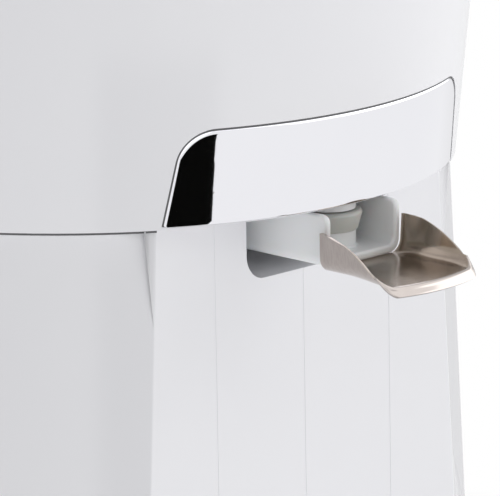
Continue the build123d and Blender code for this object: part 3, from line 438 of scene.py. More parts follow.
# Zinc-plated screws: bright, slightly blue, with a cloudy passivation.
ZINC_PLATE = Finish("steel_zinc_plated", "#C3C7CC", "#B2B0A4", 0.32, metallic=1.0, grain_mm=0.4,
                    depth_mm=0.002, patch_mm=2.0, gloss_spread=0.1)
# Oil-filled sintered bronze: speckled with open pores.
SINTERED_BRONZE = MarkedFinish("bronze_sintered", "#B08A4C", "#7A5E33", 0.45, metallic=1.0,
                               grain_mm=0.25, depth_mm=0.01)
# Stacked electrical steel: half-millimetre sheets with dark oxide between them.
LAMINATIONS = LayeredFinish("electrical_steel_stacked", "#77787B", "#434447", 0.5, metallic=1.0,
                            grain_mm=0.5, depth_mm=0.03)
# Enamelled copper wire, wound in level turns under clear varnish.
COPPER_WIRE = LayeredFinish("copper_wire_enamelled", "#B8653A", "#7C3A1C", 0.3, metallic=1.0,
                            grain_mm=0.6, depth_mm=0.08, coat=0.6)
# Die-cast zinc alloy brackets: pale, with a rough as-cast skin.
CAST_ALLOY = Finish("zinc_alloy_die_cast", "#B5B6B8", "#A5A6A9", 0.45, metallic=1.0, grain_mm=0.7,
                    depth_mm=0.015, patch_mm=6.0, gloss_spread=0.1)
# Black nylon of the cooling fan.
FAN_NYLON = Finish("nylon_black_moulded", "#202124", "#292A2C", 0.4, ior=1.53, grain_mm=0.8, depth_mm=0.004)
# Phenolic resin of the switch and terminals: black, hard and slightly mottled.
PHENOLIC = MarkedFinish("phenolic_black_moulded", "#191818", "#242220", 0.35, ior=1.6, grain_mm=0.7,
                        depth_mm=0.003)

FINISHES = {
    "gloss_white": GLOSS_ABS, "chrome_trim": CHROME_PLATE, "arm_white": SATIN_PP, "base_grey": BASE_ABS,
    "foot_rubber": RUBBER, "seal_silicone": SILICONE, "spout_steel": STEEL_SHEET, "bowl_white": BOWL_PP,
    "strainer_white": SATIN_PP, "cone_white": BOWL_PP, "cover_clear": CLEAR_SAN, "gear_nylon": ACETAL,
    "case_grey": GLASS_NYLON, "steel": GROUND_STEEL, "screw_steel": ZINC_PLATE, "bronze": SINTERED_BRONZE,
    "lamination": LAMINATIONS, "winding": COPPER_WIRE, "bracket_alloy": CAST_ALLOY,
    "fan_plastic": FAN_NYLON, "switch_black": PHENOLIC,
}


def made_of(finish: Finish) -> Material:
    """The material of a finish, made when it is first asked for."""
    return bpy.data.materials.get(finish.name) or finish.material()


def finish_of(slot: str) -> Material:
    """The material of a slot's finish."""
    return made_of(FINISHES[slot])


# ---- Frame sizes ------------------------------------------------------------------
def box_mm(node: str) -> tuple[np.ndarray, np.ndarray]:
    """Lowest and highest corner of a CAD node, in millimetres."""
    low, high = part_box(node)
    return np.array(low) / MM, np.array(high) / MM


@dataclass(frozen=True)
class Waist:
    """Skins of the two housings, which are circles round the drive axis, widest at rim and base."""

    radius: float = 98.0
    bulge: float = 0.17
    band_low: float = 0.55      # chrome band's lower edge above the seam
    lower_r: float = 96.6
    flare: float = 0.0597
    panel_d: float = 80.9
    panel_flare: float = 0.0333

    @property
    def axis_y(self) -> float:
        """Place of the drive axis, from the round rim."""
        low, high = box_mm("upper_housing")
        return (low[1] + high[1]) / 2

    @property
    def seam(self) -> float:
        """Height of the seam between the two housings."""
        return box_mm("chrome_band")[0][2] - self.band_low

    def skin(self, z: np.ndarray) -> np.ndarray:
        """Radius at a height: a straight flare from waist to rim, plus a slight parabola."""
        low, high = box_mm("upper_housing")
        share = (z - self.seam) / (high[2] - self.seam)
        rim = (high[0] - low[0]) / 2
        return self.radius + (rim - self.radius) * share + 4 * self.bulge * share * (1 - share)

    def on_skin(self, x: np.ndarray, z: np.ndarray, depth: np.ndarray) -> np.ndarray:
        """Points on the front of the skin, or a depth under it: y = axis - sqrt((R(z) - depth)^2 - x^2)."""
        radius = self.skin(z) - depth
        return np.stack([x, self.axis_y - np.sqrt(radius**2 - x**2), z], axis=-1)

    def wrapped(self, rings: Sequence[tuple[np.ndarray, float]]) -> np.ndarray:
        """Grid of rings of points (x, height above the seam), each laid at its depth under the skin."""
        return np.array([self.on_skin(ring[:, 0], ring[:, 1] + self.seam, depth) for ring, depth in rings])

    def upper(self, points: np.ndarray) -> tuple[np.ndarray, np.ndarray]:
        """Distance from the upper housing's skin, and its normals: level outwards, less the slope dR/dz."""
        out, reach = self.outwards(points)
        slope = (self.skin(points[:, 2] + 0.5) - self.skin(points[:, 2] - 0.5))[:, None]
        return reach - self.skin(points[:, 2]), unit(out - slope * UP)

    def lower(self, points: np.ndarray) -> tuple[np.ndarray, np.ndarray]:
        """Distance from the lower housing's cone, and its normals: level outwards, plus the flare."""
        out, reach = self.outwards(points)
        radius = self.lower_r + self.flare * (self.seam - points[:, 2])
        return reach - radius, unit(out + self.flare * UP)

    def panel(self, points: np.ndarray) -> tuple[np.ndarray, np.ndarray]:
        """Distance from the front panel's plane, which leans out downwards, and its normal."""
        face = self.axis_y - self.panel_d - self.panel_flare * (self.seam - points[:, 2])
        normal = unit(np.array([[0.0, -1.0, self.panel_flare]]))
        return face - points[:, 1], np.repeat(normal, len(points), axis=0)

    def outwards(self, points: np.ndarray) -> tuple[np.ndarray, np.ndarray]:
        """Level unit vectors away from the drive axis, and the distances from it."""
        out = (points - (0, self.axis_y, 0)) * (1, 1, 0)
        reach = np.linalg.norm(out, axis=1)
        return out / np.maximum(reach, 1e-9)[:, None], reach


@dataclass(frozen=True)
class Outline:
    """Front view of the chrome band or its recess: a trapezium with rounded corners.

    foot and top are half widths at the heights low and high, which are above the seam.
    """

    foot: float
    top: float
    low: float
    high: float
    corner_r: float
    foot_r: float = 0.8
    side_steps: int = 120
    corner_steps: int = 14

    def ring(self, inset: float = 0.0) -> np.ndarray:
        """The outline moved inwards, as (x, height) points from the lower left round to the upper left.

        Its side is the line x cos a + z sin a = c, and each corner's arc touches it at the angle a.
        The lower edge moves in less at first, so that it stays crisp.
        """
        middle = (self.high - self.low) / 2
        z0, z1 = self.low + inset * (0.3 + 0.7 * inset / middle), self.high - inset
        lean = math.atan2(self.foot - self.top, self.high - self.low)
        c = self.foot * math.cos(lean) + self.low * math.sin(lean) - inset
        room = (z1 - z0) / 2
        r0 = min(max(self.foot_r - inset, self.foot_r / 4), room)
        r1 = min(max(self.corner_r - inset, self.foot_r), room)
        x0, x1 = [(c - r - z * math.sin(lean)) / math.cos(lean) for r, z in ((r0, z0 + r0), (r1, z1 - r1))]
        lower = arc((x0, z0 + r0), r0, -90, math.degrees(lean), self.corner_steps)
        upper = arc((x1, z1 - r1), r1, math.degrees(lean), 90, self.corner_steps)
        climb = np.linspace(lower[-1], upper[0], self.corner_steps)[1:-1]
        right = np.vstack([lower, climb, upper])
        left = right[::-1] * [-1, 1]
        share = np.linspace(-1, 1, self.side_steps + 2)[1:-1, None]
        bottom = np.hstack([share * right[0, 0], np.full_like(share, z0)])
        crown = np.hstack([-share * right[-1, 0], np.full_like(share, z1)])
        return np.vstack([bottom, right, crown, left])


RECESS = Outline(51.25, 49.65, -0.4, 23.75, 9.25, foot_r=0.01)      # as the CAD housing has it
REVEAL = Outline(51.2, 48.3, -0.4, 23.45, 8.5, foot_r=0.01)         # as it is drawn in here
BAND = Outline(50.5, 47.75, 0.55, 22.95, 7.9)


@dataclass
class Housings:
    """The two white housings: copies of the CAD shapes, shaded by the exact normals of their skins."""

    waist: Waist
    groove_depth: float = 0.6
    groove_shown: float = 0.08      # a faint line, as on the real panel
    corner_r: float = 5.0
    corner_shown: float = 1.3
    corner_shift: float = 3.1       # towards the middle
    corner_way: tuple[float, float] = (0.27, 0.96)      # its middle faces aside and forwards
    corner_cos: float = 0.93        # and how little its points may be turned from that
    near: float = 1.2               # how near the recess's points a point belongs to its wall
    edge_room: float = 0.1          # how near its outline
    wall_room: float = 1.5          # and how deep under the skin
    floor_room: float = 0.05        # how near the grooves' floors a point belongs to them

    def draw_in(self, piece: Object) -> None:
        """Draws the recess's wall in to the reveal round the band.

        A point near the recess's outline moves as the outline's nearest point does, and keeps
        its depth under the skin.
        """
        points = points_of(piece)
        radius = np.hypot(points[:, 0], points[:, 1] - self.waist.axis_y)
        depth = self.waist.skin(points[:, 2]) - radius
        flat = points[:, [0, 2]] - (0, self.waist.seam)
        before, after = RECESS.ring(), REVEAL.ring()
        away = np.linalg.norm(flat[:, None] - before[None], axis=2)
        nearest = away.argmin(axis=1)
        wall = (away.min(axis=1) < self.near) & (depth < self.wall_room)
        wall &= (points[:, 1] < self.waist.axis_y) & (self.beside(flat, before, nearest) < self.edge_room)
        moved = flat + (after - before)[nearest]
        x, z = moved[wall, 0], moved[wall, 1] + self.waist.seam
        z = np.where(points[wall, 2] < self.waist.seam + 0.01, points[wall, 2], z)
        points[wall] = self.waist.on_skin(x, z, depth[wall])
        move(piece, points)

    def beside(self, points: np.ndarray, ring: np.ndarray, nearest: np.ndarray) -> np.ndarray:
        """Distance of points from the line through the ring's nearest point, along its neighbours."""
        along = unit(ring[(nearest + 1) % len(ring)] - ring[nearest - 1])
        offset = points - ring[nearest]
        return np.abs(offset[:, 0] * along[:, 1] - offset[:, 1] * along[:, 0])

    def soften(self, piece: Object) -> None:
        """Lifts the floors of the panel's grooves until they are faint lines."""
        points = points_of(piece)
        gap = self.waist.panel(points)[0]
        floor = np.abs(gap + self.groove_depth) < self.floor_room
        points[floor, 1] -= self.groove_depth - self.groove_shown
        move(piece, points)

    def corner_centre(self, points: np.ndarray, r: float) -> np.ndarray:
        """Centre in plan of a panel corner's arc of radius r, which is r inside both panel and cone."""
        down = self.waist.seam - points[:, 2]
        cone = self.waist.lower_r + self.waist.flare * down
        panel = self.waist.panel_d + self.waist.panel_flare * down
        across = np.sign(points[:, 0]) * np.sqrt((cone - r)**2 - (panel - r)**2)
        return np.stack([across, self.waist.axis_y - panel + r], axis=-1)

    def corner(self, points: np.ndarray) -> tuple[np.ndarray, np.ndarray]:
        """Distance from a panel corner's arc, and its normals: away from its centre, and up as beside it."""
        arm = points[:, :2] - self.corner_centre(points, self.corner_r)
        reach = np.linalg.norm(arm, axis=1)
        out = arm / np.maximum(reach, 1e-9)[:, None]
        aside, forwards = self.corner_way
        on_arc = aside * np.sign(points[:, 0]) * out[:, 0] - forwards * out[:, 1] > self.corner_cos
        rise = np.full((len(points), 1), (self.waist.flare + self.waist.panel_flare) / 2)
        return np.where(on_arc, reach - self.corner_r, np.inf), unit(np.hstack([out, rise]))

    def tighten(self, piece: Object) -> None:
        """Makes the panel's two corners tight, and moves them a little towards the middle.

        A corner's points keep their direction from the centre of its arc.
        """
        points = points_of(piece)
        corner = np.abs(self.corner(points)[0]) < 2 * ON_SKIN
        arm = (points[:, :2] - self.corner_centre(points, self.corner_r)) / self.corner_r
        tight = self.corner_centre(points, self.corner_shown)
        tight[:, 0] -= np.sign(points[:, 0]) * self.corner_shift
        points[corner, :2] = (tight + self.corner_shown * arm)[corner]
        move(piece, points)

    def build(self) -> None:
        """Copies each housing and gives the faces of its skin their true normals."""
        upper = smooth_copy("upper_housing", "root", "gloss_white")
        drawn = points_of(upper)
        self.draw_in(upper)
        exact_normals(upper, [self.waist.upper], drawn)
        lower = smooth_copy("lower_housing", "root", "gloss_white")
        drawn = points_of(lower)
        self.soften(lower)
        self.tighten(lower)
        exact_normals(lower, [self.waist.lower, self.waist.panel, self.corner], drawn)


@dataclass
class GapShades:
    """Dark grey pieces that paint the shade in two gaps: a frame in the gap round the chrome band, and a ring
    in the seam below.
    """

    waist: Waist
    frame_w: float = 0.9
    frame_room: float = 0.02        # between the frame and the recess's wall
    frame_depth: float = 0.3        # its front and back under the skin
    frame_back: float = 0.98
    frame_foot: float = 0.3         # above the band's lower edge
    ring_low: float = 0.58          # below the seam
    ring_high: float = 0.1
    ring_proud: float = 0.12
    ring_w: float = 3.0
    ring_from: float = 31.8         # bearing from the front, where the panel begins
    ring_steps: int = 160

    def frame_shape(self) -> Shape:
        """Ring of rectangular section, laid between two insets of the reveal's outline."""
        foot = BAND.low + self.frame_foot
        outer = Outline(REVEAL.foot, REVEAL.top, foot, REVEAL.high, REVEAL.corner_r)
        near, far = self.frame_room, self.frame_w
        back, front = self.frame_back, self.frame_depth
        section = [(near, back), (near, front), (far, front), (far, back)]
        rings = [(outer.ring(inset), depth) for inset, depth in section]
        return woven(self.waist.wrapped(rings), close_u=True, close_v=True)

    def ring_shape(self) -> Shape:
        """Rectangular section carried round the waist, behind the panel's two corners."""
        r = self.waist.lower_r + self.ring_proud
        section = np.array([(r, -self.ring_low), (r, -self.ring_high),
                            (r - self.ring_w, -self.ring_high), (r - self.ring_w, -self.ring_low)])
        turn = np.linspace(self.ring_from, 360 - self.ring_from, self.ring_steps)
        bearing = np.radians(turn)[:, None]
        x, y = section[:, 0] * np.sin(bearing), self.waist.axis_y - section[:, 0] * np.cos(bearing)
        return capped(np.stack([x, y, self.waist.seam + section[:, 1] + 0 * x], axis=-1))

    def build(self) -> None:
        """Makes both painted-shade pieces and fixes them to the housings."""
        # dark grey pieces that paint the shade of the gap round the band and of the seam
        for name, shape in (("band_gap_shade", self.frame_shape()), ("seam_gap_shade", self.ring_shape())):
            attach(new_piece(name, shape, "base_grey"), "root")


# ---- Front pieces -------------------------------------------------------------------
@dataclass
class ChromeBand:
    """Chrome trim that wraps the waist above the spout, with a rolled edge."""

    waist: Waist
    thickness: float = 1.0
    roll_w: float = 0.9
    roll_depth: float = 0.35

    def shape(self) -> Shape:
        """Rings carried from the middle of the back, round the rolled edge, to the middle of the front.

        The edge is a quarter ellipse: at an inset i the front lies e(1 - sqrt(1 - (1 - i/w)^2)) deep.
        """
        middle = (BAND.high - BAND.low) / 2
        turn = np.linspace(0, np.pi / 2, 9)
        back = [(inset, self.thickness) for inset in (middle, middle / 2, 0.0)]
        roll = [(self.roll_w * (1 - math.cos(a)), self.roll_depth * (1 - math.sin(a))) for a in turn]
        front = [(inset, 0.0) for inset in np.linspace(self.roll_w, middle, 8)[1:]]
        rings = [(BAND.ring(inset), depth) for inset, depth in back + roll + front]
        return woven(self.waist.wrapped(rings), close_v=True)

    def build(self) -> None:
        """Makes the band and puts it in the place of its CAD node."""
        band = new_piece("chrome_trim_band", self.shape(), "chrome_trim", crease=60)
        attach(band, "root")
        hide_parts("chrome_band")


@dataclass
class PouringTip:
    """Polished sheet tip: a trough whose walls sweep down to a turned-over, bowed pouring lip."""

    sheet: float = 0.6
    overlap: float = 1.05       # over the arm's nose
    corner_r: float = 3.5
    level: float = 1.0          # level stretch of the walls' tops
    lean: tuple[float, float] = (0.5, 1.8)      # of the walls, outwards: at the arm, and further on
    dip: float = 0.6            # of the floor, towards the lip
    bow_r: float = 36.0
    turn_r: float = 0.5         # of the rim, which turns by lip_turn degrees
    lip_turn: float = 78.0
    lip_lean: float = 1.5
    lip_short: float = 1.0
    lip_full: float = 11.0      # half width over which the lip keeps its depth
    lip_none: float = 14.8      # distance from the middle, round the section, where it ends
    flare: float = 2.4
    fall: float = 0.1           # share of the walls' fall that is straight
    edge_bevel: float = 0.12
    edge_angle: float = 60.0
    flare_from: float = 6.0     # where flare and dip begin, and the lean is full, from the arm
    dip_from: float = 5.0
    lean_run: float = 6.0
    along: int = 40
    wall_steps: int = 28
    floor_steps: int = 47

    @property
    def floor(self) -> float:
        """Height of the trough's underside, one sheet below the arm."""
        return box_mm("spout_arm")[0][2] - self.sheet

    @property
    def tall(self) -> float:
        """Height of the walls over the floor."""
        return box_mm("spout_tip")[1][2] - self.floor

    def section(self) -> tuple[np.ndarray, np.ndarray]:
        """Front view of the trough, from the left wall's top to the right one's.

        Returns:
            Points (x, height), and each one's distance from the middle round the section.
        """
        half, r = box_mm("spout_tip")[1][0], self.corner_r
        steps = self.wall_steps
        wall = np.stack([np.full(steps, half), np.linspace(r, self.tall, steps + 1)[1:]], axis=-1)
        right = np.vstack([arc((half - r, r), r, -90, 0, 14), wall])
        share = np.linspace(-1, 1, self.floor_steps + 2)[1:-1]
        floor = np.stack([share * right[0, 0], 0 * share], axis=-1)
        points = np.vstack([right[::-1] * [-1, 1], floor, right])
        steps = np.linalg.norm(np.diff(points, axis=0), axis=1)
        length = np.concatenate([[0.0], np.cumsum(steps)])
        return points, np.abs(length - length[-1] / 2)

    def climb(self, height: np.ndarray) -> np.ndarray:
        """How far behind the pouring edge a wall reaches a height.

        At a share t of the run forwards from its level stretch a wall's top has fallen by
        a t + (1 - a) t^2 of its height. This is solved for t.
        """
        low, high = box_mm("spout_tip")
        back = box_mm("spout_arm")[0][1] + self.overlap
        run = back - self.level - (low[1] + self.bow(np.array(high[0])) + self.lip_lean)
        fallen = 1 - height / self.tall
        a = self.fall
        return run * (1 - (np.sqrt(a * a + 4 * (1 - a) * fallen) - a) / (2 - 2 * a))

    def bow(self, x: np.ndarray) -> np.ndarray:
        """Setback of the bowed pouring edge: R - sqrt(R^2 - x^2)."""
        return self.bow_r - np.sqrt(self.bow_r**2 - x**2)

    def shape(self) -> Shape:
        """Lines of the trough carried forwards from the arm to the rim, then over the lip.

        Each line ends at the bowed edge plus the climb of its height. The lip leaves it as an
        arc and a straight drop, square to the rim in plan, scaled by a share that fades up the walls.
        """
        low, high = box_mm("spout_tip")
        (x, height), reach = self.section()[0].T, self.section()[1]
        back = box_mm("spout_arm")[0][1] + self.overlap
        end = low[1] + self.lip_lean + self.bow(x) + self.climb(height)
        share = np.linspace(0, 1, self.along)[:, None]
        y = back + (end - back) * share
        out, run = back - y, back - low[1]
        spread = 1 + self.flare / high[0] * eased(out, self.flare_from, run)
        lean = self.lean[0] + (self.lean[1] - self.lean[0]) * eased(out, 0.0, self.lean_run)
        sag = self.dip * eased(out, self.dip_from, run) * (1 - height / self.tall)
        across = x * spread + np.sign(x) * lean * height / self.tall
        trough = np.stack([across, y, self.floor + height - sag], axis=-1)
        width = 1 - eased(reach, self.lip_full, self.lip_none)
        rim = np.gradient(trough[-1], axis=0)
        square = unit(np.stack([rim[:, 1], -rim[:, 0], 0 * x], axis=-1))
        drop = low[2] + self.lip_short
        turn = np.radians(np.linspace(0, self.lip_turn, 7))[1:]
        ahead, down = self.turn_r * np.sin(turn), self.turn_r * (1 - np.cos(turn))
        ahead = [*ahead, *np.linspace(ahead[-1], self.lip_lean, 5)[1:]]
        down = [*down, *np.linspace(down[-1], self.floor - self.dip - drop, 5)[1:]]
        lip = [trough[-1] + square * (f * width)[:, None] - np.outer(d * width, UP)
               for f, d in zip(ahead, down)]
        return woven(np.concatenate([trough, np.array(lip)]))

    def build(self) -> None:
        """Makes the tip from its outer face, thickened inwards, and puts it in its node's place.

        The trough's inner face takes the material after its outer one's, a darker copy of the sheet that paints
        the shade in the trough, and the lip the last.
        """
        shape = self.shape()
        trough = (self.along - 1) * (len(self.section()[0]) - 1)
        coats = [0] * trough + [2] * (len(shape.faces) - trough)
        tip = new_piece("pouring_tip", shape, "spout_steel", crease=70, coats=coats)
        facing = np.empty(3 * len(tip.data.polygons))
        tip.data.polygons.foreach_get("normal", facing)
        if facing[2::3].sum() > 0:
            tip.data.flip_normals()
        wall = tip.modifiers.new("sheet", "SOLIDIFY")
        wall.thickness, wall.offset, wall.material_offset = self.sheet * MM, -1.0, 1
        # the inner face's copy is darkened to paint the shade in the trough
        for finish in (STEEL_PAINTED_SHADE, STEEL_LIP):
            tip.data.materials.append(made_of(finish))
        edge = tip.modifiers.new("edge", "BEVEL")
        edge.width, edge.segments, edge.angle_limit = self.edge_bevel * MM, 2, math.radians(self.edge_angle)
        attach(tip, "spout")
        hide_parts("spout_tip")


@dataclass
class SpoutArm:
    """Moulded channel that carries the juice: walls with soft edges, valve post and pivot hub."""

    wall: float = 2.0
    floor_t: float = 2.0
    lower_r: float = 3.2
    trough_r: float = 2.0
    edge_r: float = 0.75
    nose_r: float = 2.2
    trough_back: float = 10.0       # solid stretch behind the trough
    tail_drop: float = 5.8
    tail_length: float = 8.0
    post_r: float = 7.0
    post_foot_r: float = 0.8
    hub_r: float = 4.0
    hub_room: float = 1.9           # from the washers' outer faces
    tip_room: float = 1.1           # inside the tip's outer face: its sheet and a gap
    setback: float = 0.45           # of the nose, behind the CAD arm's

    def loop(self, y: float, inset: float) -> np.ndarray:
        """Section of the arm at y, shrunk by an inset: a U with rounded corners, as a closed loop."""
        low, high = box_mm("spout_arm")
        half, front, back = self.half, low[1] + self.setback, high[1]
        nose = max(self.nose_r - (y - front), 0)
        top = high[2] - self.nose_r + math.sqrt(self.nose_r**2 - nose**2) - inset
        tail = max(y - back + self.tail_length, 0)
        top -= tail * self.tail_drop / self.tail_length
        floor = low[2] + self.floor_t - inset
        if y > back - self.trough_back:
            floor = top - 0.01
        outer, inner = half - inset, half - self.wall + inset
        r_low, r_edge = self.lower_r - inset, min(self.edge_r, (outer - inner) / 2.1)
        r_in = min(self.trough_r, (top - floor) * 0.9)
        solid = floor >= top - 1
        right = np.vstack([
            arc((outer - r_low, low[2] + inset + r_low), r_low, -90, 0),
            arc((outer - r_edge, top - r_edge), r_edge, 0, 90, 5),
            np.full((6, 2), (inner, top)) if solid else arc((inner + r_edge, top - r_edge), r_edge, 90, 180, 5),
            arc((inner - r_in, floor + r_in), r_in, 0, -90)])
        flat = np.vstack([right, right[::-1] * [-1, 1]])
        return np.stack([flat[:, 0], np.full(len(flat), y), flat[:, 1]], axis=-1)

    @property
    def half(self) -> float:
        """Half the width of the channel."""
        return box_mm("spout_tip")[1][0] - self.tip_room

    def shape(self) -> Shape:
        """Sections carried from the rounded nose to the tail, plus the post and the hub."""
        low, high = box_mm("spout_arm")
        front, back = low[1] + self.setback, high[1]
        turn = np.linspace(np.pi / 2, 0, 7)
        stations = [(front + self.edge_r * (1 - math.sin(a)), self.edge_r * (1 - math.cos(a))) for a in turn]
        stations += [(y, 0.0) for y in np.linspace(front + self.edge_r, front + self.nose_r, 8)[1:]]
        end = back - self.trough_back
        stations += [(y, 0.0) for y in (end, end + 0.02, back - self.tail_length, back)]
        channel = capped(np.array([self.loop(y, inset) for y, inset in stations]))
        return channel + self.post() + self.hub()

    def post(self) -> Shape:
        """Post under the valve cap, with a small fillet where it meets the floor."""
        cap_low, cap_high = box_mm("valve_cap")
        foot = box_mm("spout_arm")[0][2] + self.floor_t
        r, f = self.post_r, self.post_foot_r
        fillet = arc((r + f, foot + f), f, 270, 180)
        rest = np.array([(r, cap_low[2]), (0, cap_low[2]), (0, foot - 1), (r + f, foot - 1)])
        return turned(np.vstack([fillet, rest]), 0.0, (cap_low[1] + cap_high[1]) / 2)

    def hub(self) -> Shape:
        """Barrel round the pivot pin, between the washers."""
        pin_low, pin_high = box_mm("pivot_pin")
        washer = box_mm("pivot_washers")[1][0]
        angle = np.linspace(0, 2 * np.pi, 48, endpoint=False)
        y = (pin_low[1] + pin_high[1]) / 2 + self.hub_r * np.cos(angle)
        z = (pin_low[2] + pin_high[2]) / 2 + self.hub_r * np.sin(angle)
        ends = (self.hub_room - washer, washer - self.hub_room)
        return capped(np.array([np.stack([np.full(48, x), y, z], axis=-1) for x in ends]))

    def build(self) -> None:
        """Makes the arm and puts it in its node's place."""
        arm = new_piece("spout_channel_arm", self.shape(), "arm_white", crease=50)
        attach(arm, "spout")
        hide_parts("spout_arm")


@dataclass
class ValveCap:
    """Silicone cap on the post: a tapered ring with a rolled top edge."""

    edge_r: float = 0.9
    foot_r: float = 7.5
    foot_edge: float = 0.3
    core_r: float = 5.5

    def build(self) -> None:
        """Turns the cap's profile: out along the foot, up the taper and over the top."""
        low, high = box_mm("valve_cap")
        top_r = (high[0] - low[0]) / 2
        r, f = self.edge_r, self.foot_edge
        profile = np.vstack([[(0.0, low[2] + f), (self.core_r, low[2])],
                             arc((self.foot_r - f, low[2] + f), f, -90, 0, 4),
                             arc((top_r - r, high[2] - r), r, 0, 90), [(0.0, high[2])]])
        cap = new_piece("valve_cap_silicone", turned(profile, 0.0, (low[1] + high[1]) / 2), "seal_silicone")
        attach(cap, "spout")
        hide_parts("valve_cap")


# ---- Studio -------------------------------------------------------------------------
LAMPS = (       # name, place and size in metres, and watts
    ("key", (1.75, -1.3, 1.3), 3.4, 20.0),
    ("left", (-1.3, -1.7, 1.2), 2.4, 7.6),
    ("right", (2.0, -0.9, 0.3), 2.4, 17.0),
)


@dataclass
class Studio:
    """Pale floor, white surroundings, soft lamps and the camera."""

    floor_r: float = 6.0
    shadow_r: float = 0.16          # floor within this radius shows the object's shadow
    ambient: float = 0.32
    glow: float = 0.76              # light from the floor besides what it scatters
    gleam: tuple[float, float] = (0.94, 0.8)    # white in mirrors, ahead and behind
    behind: tuple[float, float, float] = (0.72, 0.69, 0.0)
    flag_r: float = 0.28
    flag_top: float = 0.125
    flag_span: tuple[float, float] = (8.2, 36.0)    # bearing from the front, towards -X

    def floor(self) -> None:
        """Pale floor: painted near the object, and plain white to the camera further out."""
        ring = np.linspace(0, 2 * np.pi, 64, endpoint=False)
        rim = np.stack([self.floor_r * np.cos(ring), self.floor_r * np.sin(ring), 0 * ring - 0.0002], axis=-1)
        plane = linked("floor", Shape(rim, [tuple(range(len(rim)))]))
        made = blank_material("floor_paint_matt")
        tree = made.node_tree
        place = add(tree, "TexCoord", {}, {}).outputs["Object"]
        reach = add(tree, "VectorMath", {"operation": "LENGTH"}, {0: place}).outputs["Value"]
        far = add(tree, "MapRange", {"interpolation_type": "SMOOTHSTEP"}, {
            "Value": reach, 1: self.shadow_r, 2: 1.6 * self.shadow_r}).outputs[0]
        direct = seen_directly(tree)
        seen = add(tree, "Math", {"operation": "MULTIPLY"}, {0: far, 1: direct})
        speck = add(tree, "TexNoise", {}, {"Vector": place, "Scale": 300.0}).outputs["Fac"]
        pale = add(tree, "Mix", {"data_type": "RGBA"}, {
            0: speck, 6: linear("#F4F4F4"), 7: linear("#F1F1F1")}).outputs[2]
        paint = add(tree, "Mix", {"data_type": "RGBA"}, {
            0: direct, 6: linear("#C8C8C8"), 7: pale}).outputs[2]
        matt = add(tree, "BsdfDiffuse", {}, {"Color": paint}).outputs[0]
        glow = add(tree, "Math", {"operation": "MULTIPLY_ADD"}, {
            0: direct, 1: -self.glow, 2: self.glow})
        light = add(tree, "Emission", {}, {"Color": (1, 1, 1, 1), "Strength": glow.outputs[0]})
        matt = add(tree, "AddShader", {}, {0: matt, 1: light.outputs[0]}).outputs[0]
        white = add(tree, "Emission", {}, {
            "Color": (1, 1, 1, 1), "Strength": self.white(tree, place)}).outputs[0]
        mixed = add(tree, "MixShader", {}, {0: seen.outputs[0], 1: matt, 2: white})
        add(tree, "OutputMaterial", {}, {"Surface": mixed.outputs[0]})
        plane.data.materials.append(made)

    def surroundings(self) -> None:
        """White world: plain white where it is seen, dimmer as light on the object."""
        world = bpy.data.worlds.new("surroundings")
        world.use_nodes = True
        tree = world.node_tree
        tree.nodes.clear()
        way = add(tree, "TexCoord", {}, {}).outputs["Generated"]
        strength = add(tree, "Mix", {}, {
            0: seen_directly(tree), 2: self.ambient, 3: self.white(tree, way)}).outputs[0]
        sky = add(tree, "Background", {}, {"Color": (1, 1, 1, 1), "Strength": strength})
        add(tree, "OutputWorld", {}, {"Surface": sky.outputs[0]})
        bpy.context.scene.world = world

    def white(self, tree: NodeTree, way: NodeSocket) -> NodeSocket:
        """Strength of the white that is seen in a direction: 1 to the camera, a shade less in mirrors.

        In mirrors it fades from ahead to behind, by the cosine of the angle from straight behind.
        """
        level = add(tree, "VectorMath", {"operation": "MULTIPLY"}, {0: way, 1: (1, 1, 0)}).outputs[0]
        flat = add(tree, "VectorMath", {"operation": "NORMALIZE"}, {0: level}).outputs[0]
        behind = add(tree, "VectorMath", {"operation": "DOT_PRODUCT"}, {
            0: flat, 1: self.behind}).outputs["Value"]
        mirrored = add(tree, "MapRange", {}, {
            "Value": behind, 1: 0.7, 2: 1.0, 3: self.gleam[0], 4: self.gleam[1]}).outputs[0]
        path = add(tree, "LightPath", {}, {}).outputs
        return add(tree, "Mix", {}, {0: path["Is Camera Ray"], 2: mirrored, 3: 1.0}).outputs[0]

    def lamp(self, name: str, place: Sequence[float], size: float, power: float) -> None:
        """Square soft box that faces the middle of the object."""
        data = bpy.data.lights.new(name, "AREA")
        data.size, data.energy = size, power
        lamp = bpy.data.objects.new(name, data)
        lamp.location = place
        lamp.rotation_euler = (Vector((0, 0, 0.17)) - Vector(place)).to_track_quat("-Z", "Y").to_euler()
        bpy.context.scene.collection.objects.link(lamp)

    def flag(self, waist: Waist) -> None:
        """Black cloth that only mirrors see, curved round the drive axis, for the band's dark end."""
        near, far = [math.radians(a) for a in self.flag_span]
        turn = np.linspace(near, far, 16)[:, None]
        rise = np.array([-0.0001, self.flag_top])[None, :]
        x, y = -self.flag_r * np.sin(turn), waist.axis_y * MM - self.flag_r * np.cos(turn)
        shape = woven(np.stack([x + 0 * rise, y + 0 * rise, rise + 0 * turn], axis=-1) / MM)
        card = linked("flag", shape)
        made = blank_material("flag_black_cloth")
        cloth = add(made.node_tree, "BsdfDiffuse", {}, {"Color": linear("#0C0C0B")})
        add(made.node_tree, "OutputMaterial", {}, {"Surface": cloth.outputs[0]})
        card.data.materials.append(made)
        card.visible_camera = card.visible_diffuse = card.visible_shadow = card.visible_transmission = False

    def camera(self, waist: Waist) -> None:
        """Long lens from the front left, a little above the seam, aimed to the right of the drive axis."""
        view = CameraView()
        data = bpy.data.cameras.new("camera")
        data.lens, data.sensor_width, data.clip_end = view.lens, 36.0, 50.0
        camera = bpy.data.objects.new("camera", data)
        camera.matrix_world = view.matrix(waist)
        bpy.context.scene.collection.objects.link(camera)
        bpy.context.scene.camera = camera

    def build(self, waist: Waist) -> None:
        """Sets up everything that isn't part of the object."""
        self.floor()
        self.surroundings()
        self.flag(waist)
        for name, place, size, power in LAMPS:
            self.lamp(name, place, size, power)
        self.camera(waist)
        bpy.context.scene.view_settings.view_transform = "Standard"


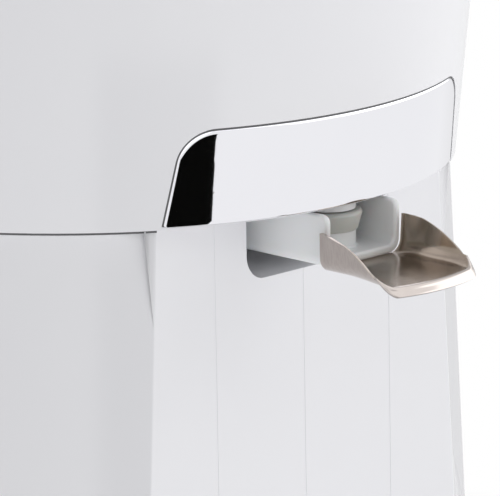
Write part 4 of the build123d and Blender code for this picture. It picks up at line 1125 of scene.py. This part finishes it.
def seen_directly(tree: NodeTree) -> NodeSocket:
    """1 for camera, glossy and transmission rays, 0 for the rays that light the object."""
    path = add(tree, "LightPath", {}, {}).outputs
    either = add(tree, "Math", {"operation": "MAXIMUM"}, {
        0: path["Is Camera Ray"], 1: path["Is Glossy Ray"]}).outputs[0]
    return add(tree, "Math", {"operation": "MAXIMUM"}, {
        0: either, 1: path["Is Transmission Ray"]}).outputs[0]


@dataclass(frozen=True)
class CameraView:
    """Place and direction of the camera, in degrees and metres."""

    azimuth: float = -45.79
    distance: float = 1.3005
    rise: float = 0.2845        # above the seam
    pitch: float = 13.453
    turn: float = 2.061         # to the right of the drive axis
    lens: float = 391.96

    def matrix(self, waist: Waist) -> Matrix:
        """World matrix: the pitched view is turned about the camera's own upright axis."""
        side, down, aside = [math.radians(a) for a in (self.azimuth, self.pitch, self.turn)]
        back = Vector((math.sin(side), -math.cos(side), 0))
        level_right = Vector((math.cos(side), math.sin(side), 0))
        ahead = -back * math.cos(down) - Vector((0, 0, math.sin(down)))
        upright = level_right.cross(ahead)
        forward = ahead * math.cos(aside) + level_right * math.sin(aside)
        right = level_right * math.cos(aside) - ahead * math.sin(aside)
        place = Vector((0, waist.axis_y * MM, waist.seam * MM + self.rise)) + back * self.distance
        axes = Matrix((right, upright, -forward)).transposed().to_4x4()
        return Matrix.Translation(place) @ axes


# ---- Whole juicer ---------------------------------------------------------------------
SMOOTH_NODES = {
    "juice_bowl": "bowl", "strainer": "strainer",
    "cone": "cone", "dust_cover": "cover", "rubber_feet": "root", "cord_bush": "root",
}


def dress_nodes(slots: dict[str, str]) -> None:
    """Gives every CAD node that still shows its slot's finish."""
    for node, piece in frame["nodes"].items():
        piece.data.materials.clear()
        piece.data.materials.append(finish_of(slots[node]))


def main() -> None:
    """Builds the juicer's looks piece by piece."""
    logging.basicConfig(level=logging.INFO, format="%(name)s: %(message)s")
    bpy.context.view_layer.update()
    slots = {part["node"]: part["material_slot"] for part in frame["record"]["subparts"]}
    dress_nodes(slots)
    log.info("dressed %d nodes", len(slots))
    for node, body in SMOOTH_NODES.items():
        copy = smooth_copy(node, body, slots[node])
        copy.visible_shadow = FINISHES[slots[node]].transmission == 0    # clear plastic lets light through
        log.info("smoothed %s", node)
    waist = Waist()
    for part in (Housings(waist), GapShades(waist), ChromeBand(waist), PouringTip(), SpoutArm(), ValveCap()):
        part.build()
        log.info("built %s", type(part).__name__)
    Studio().build(waist)
    log.info("set up the studio")


if __name__ == "__main__":
    main()
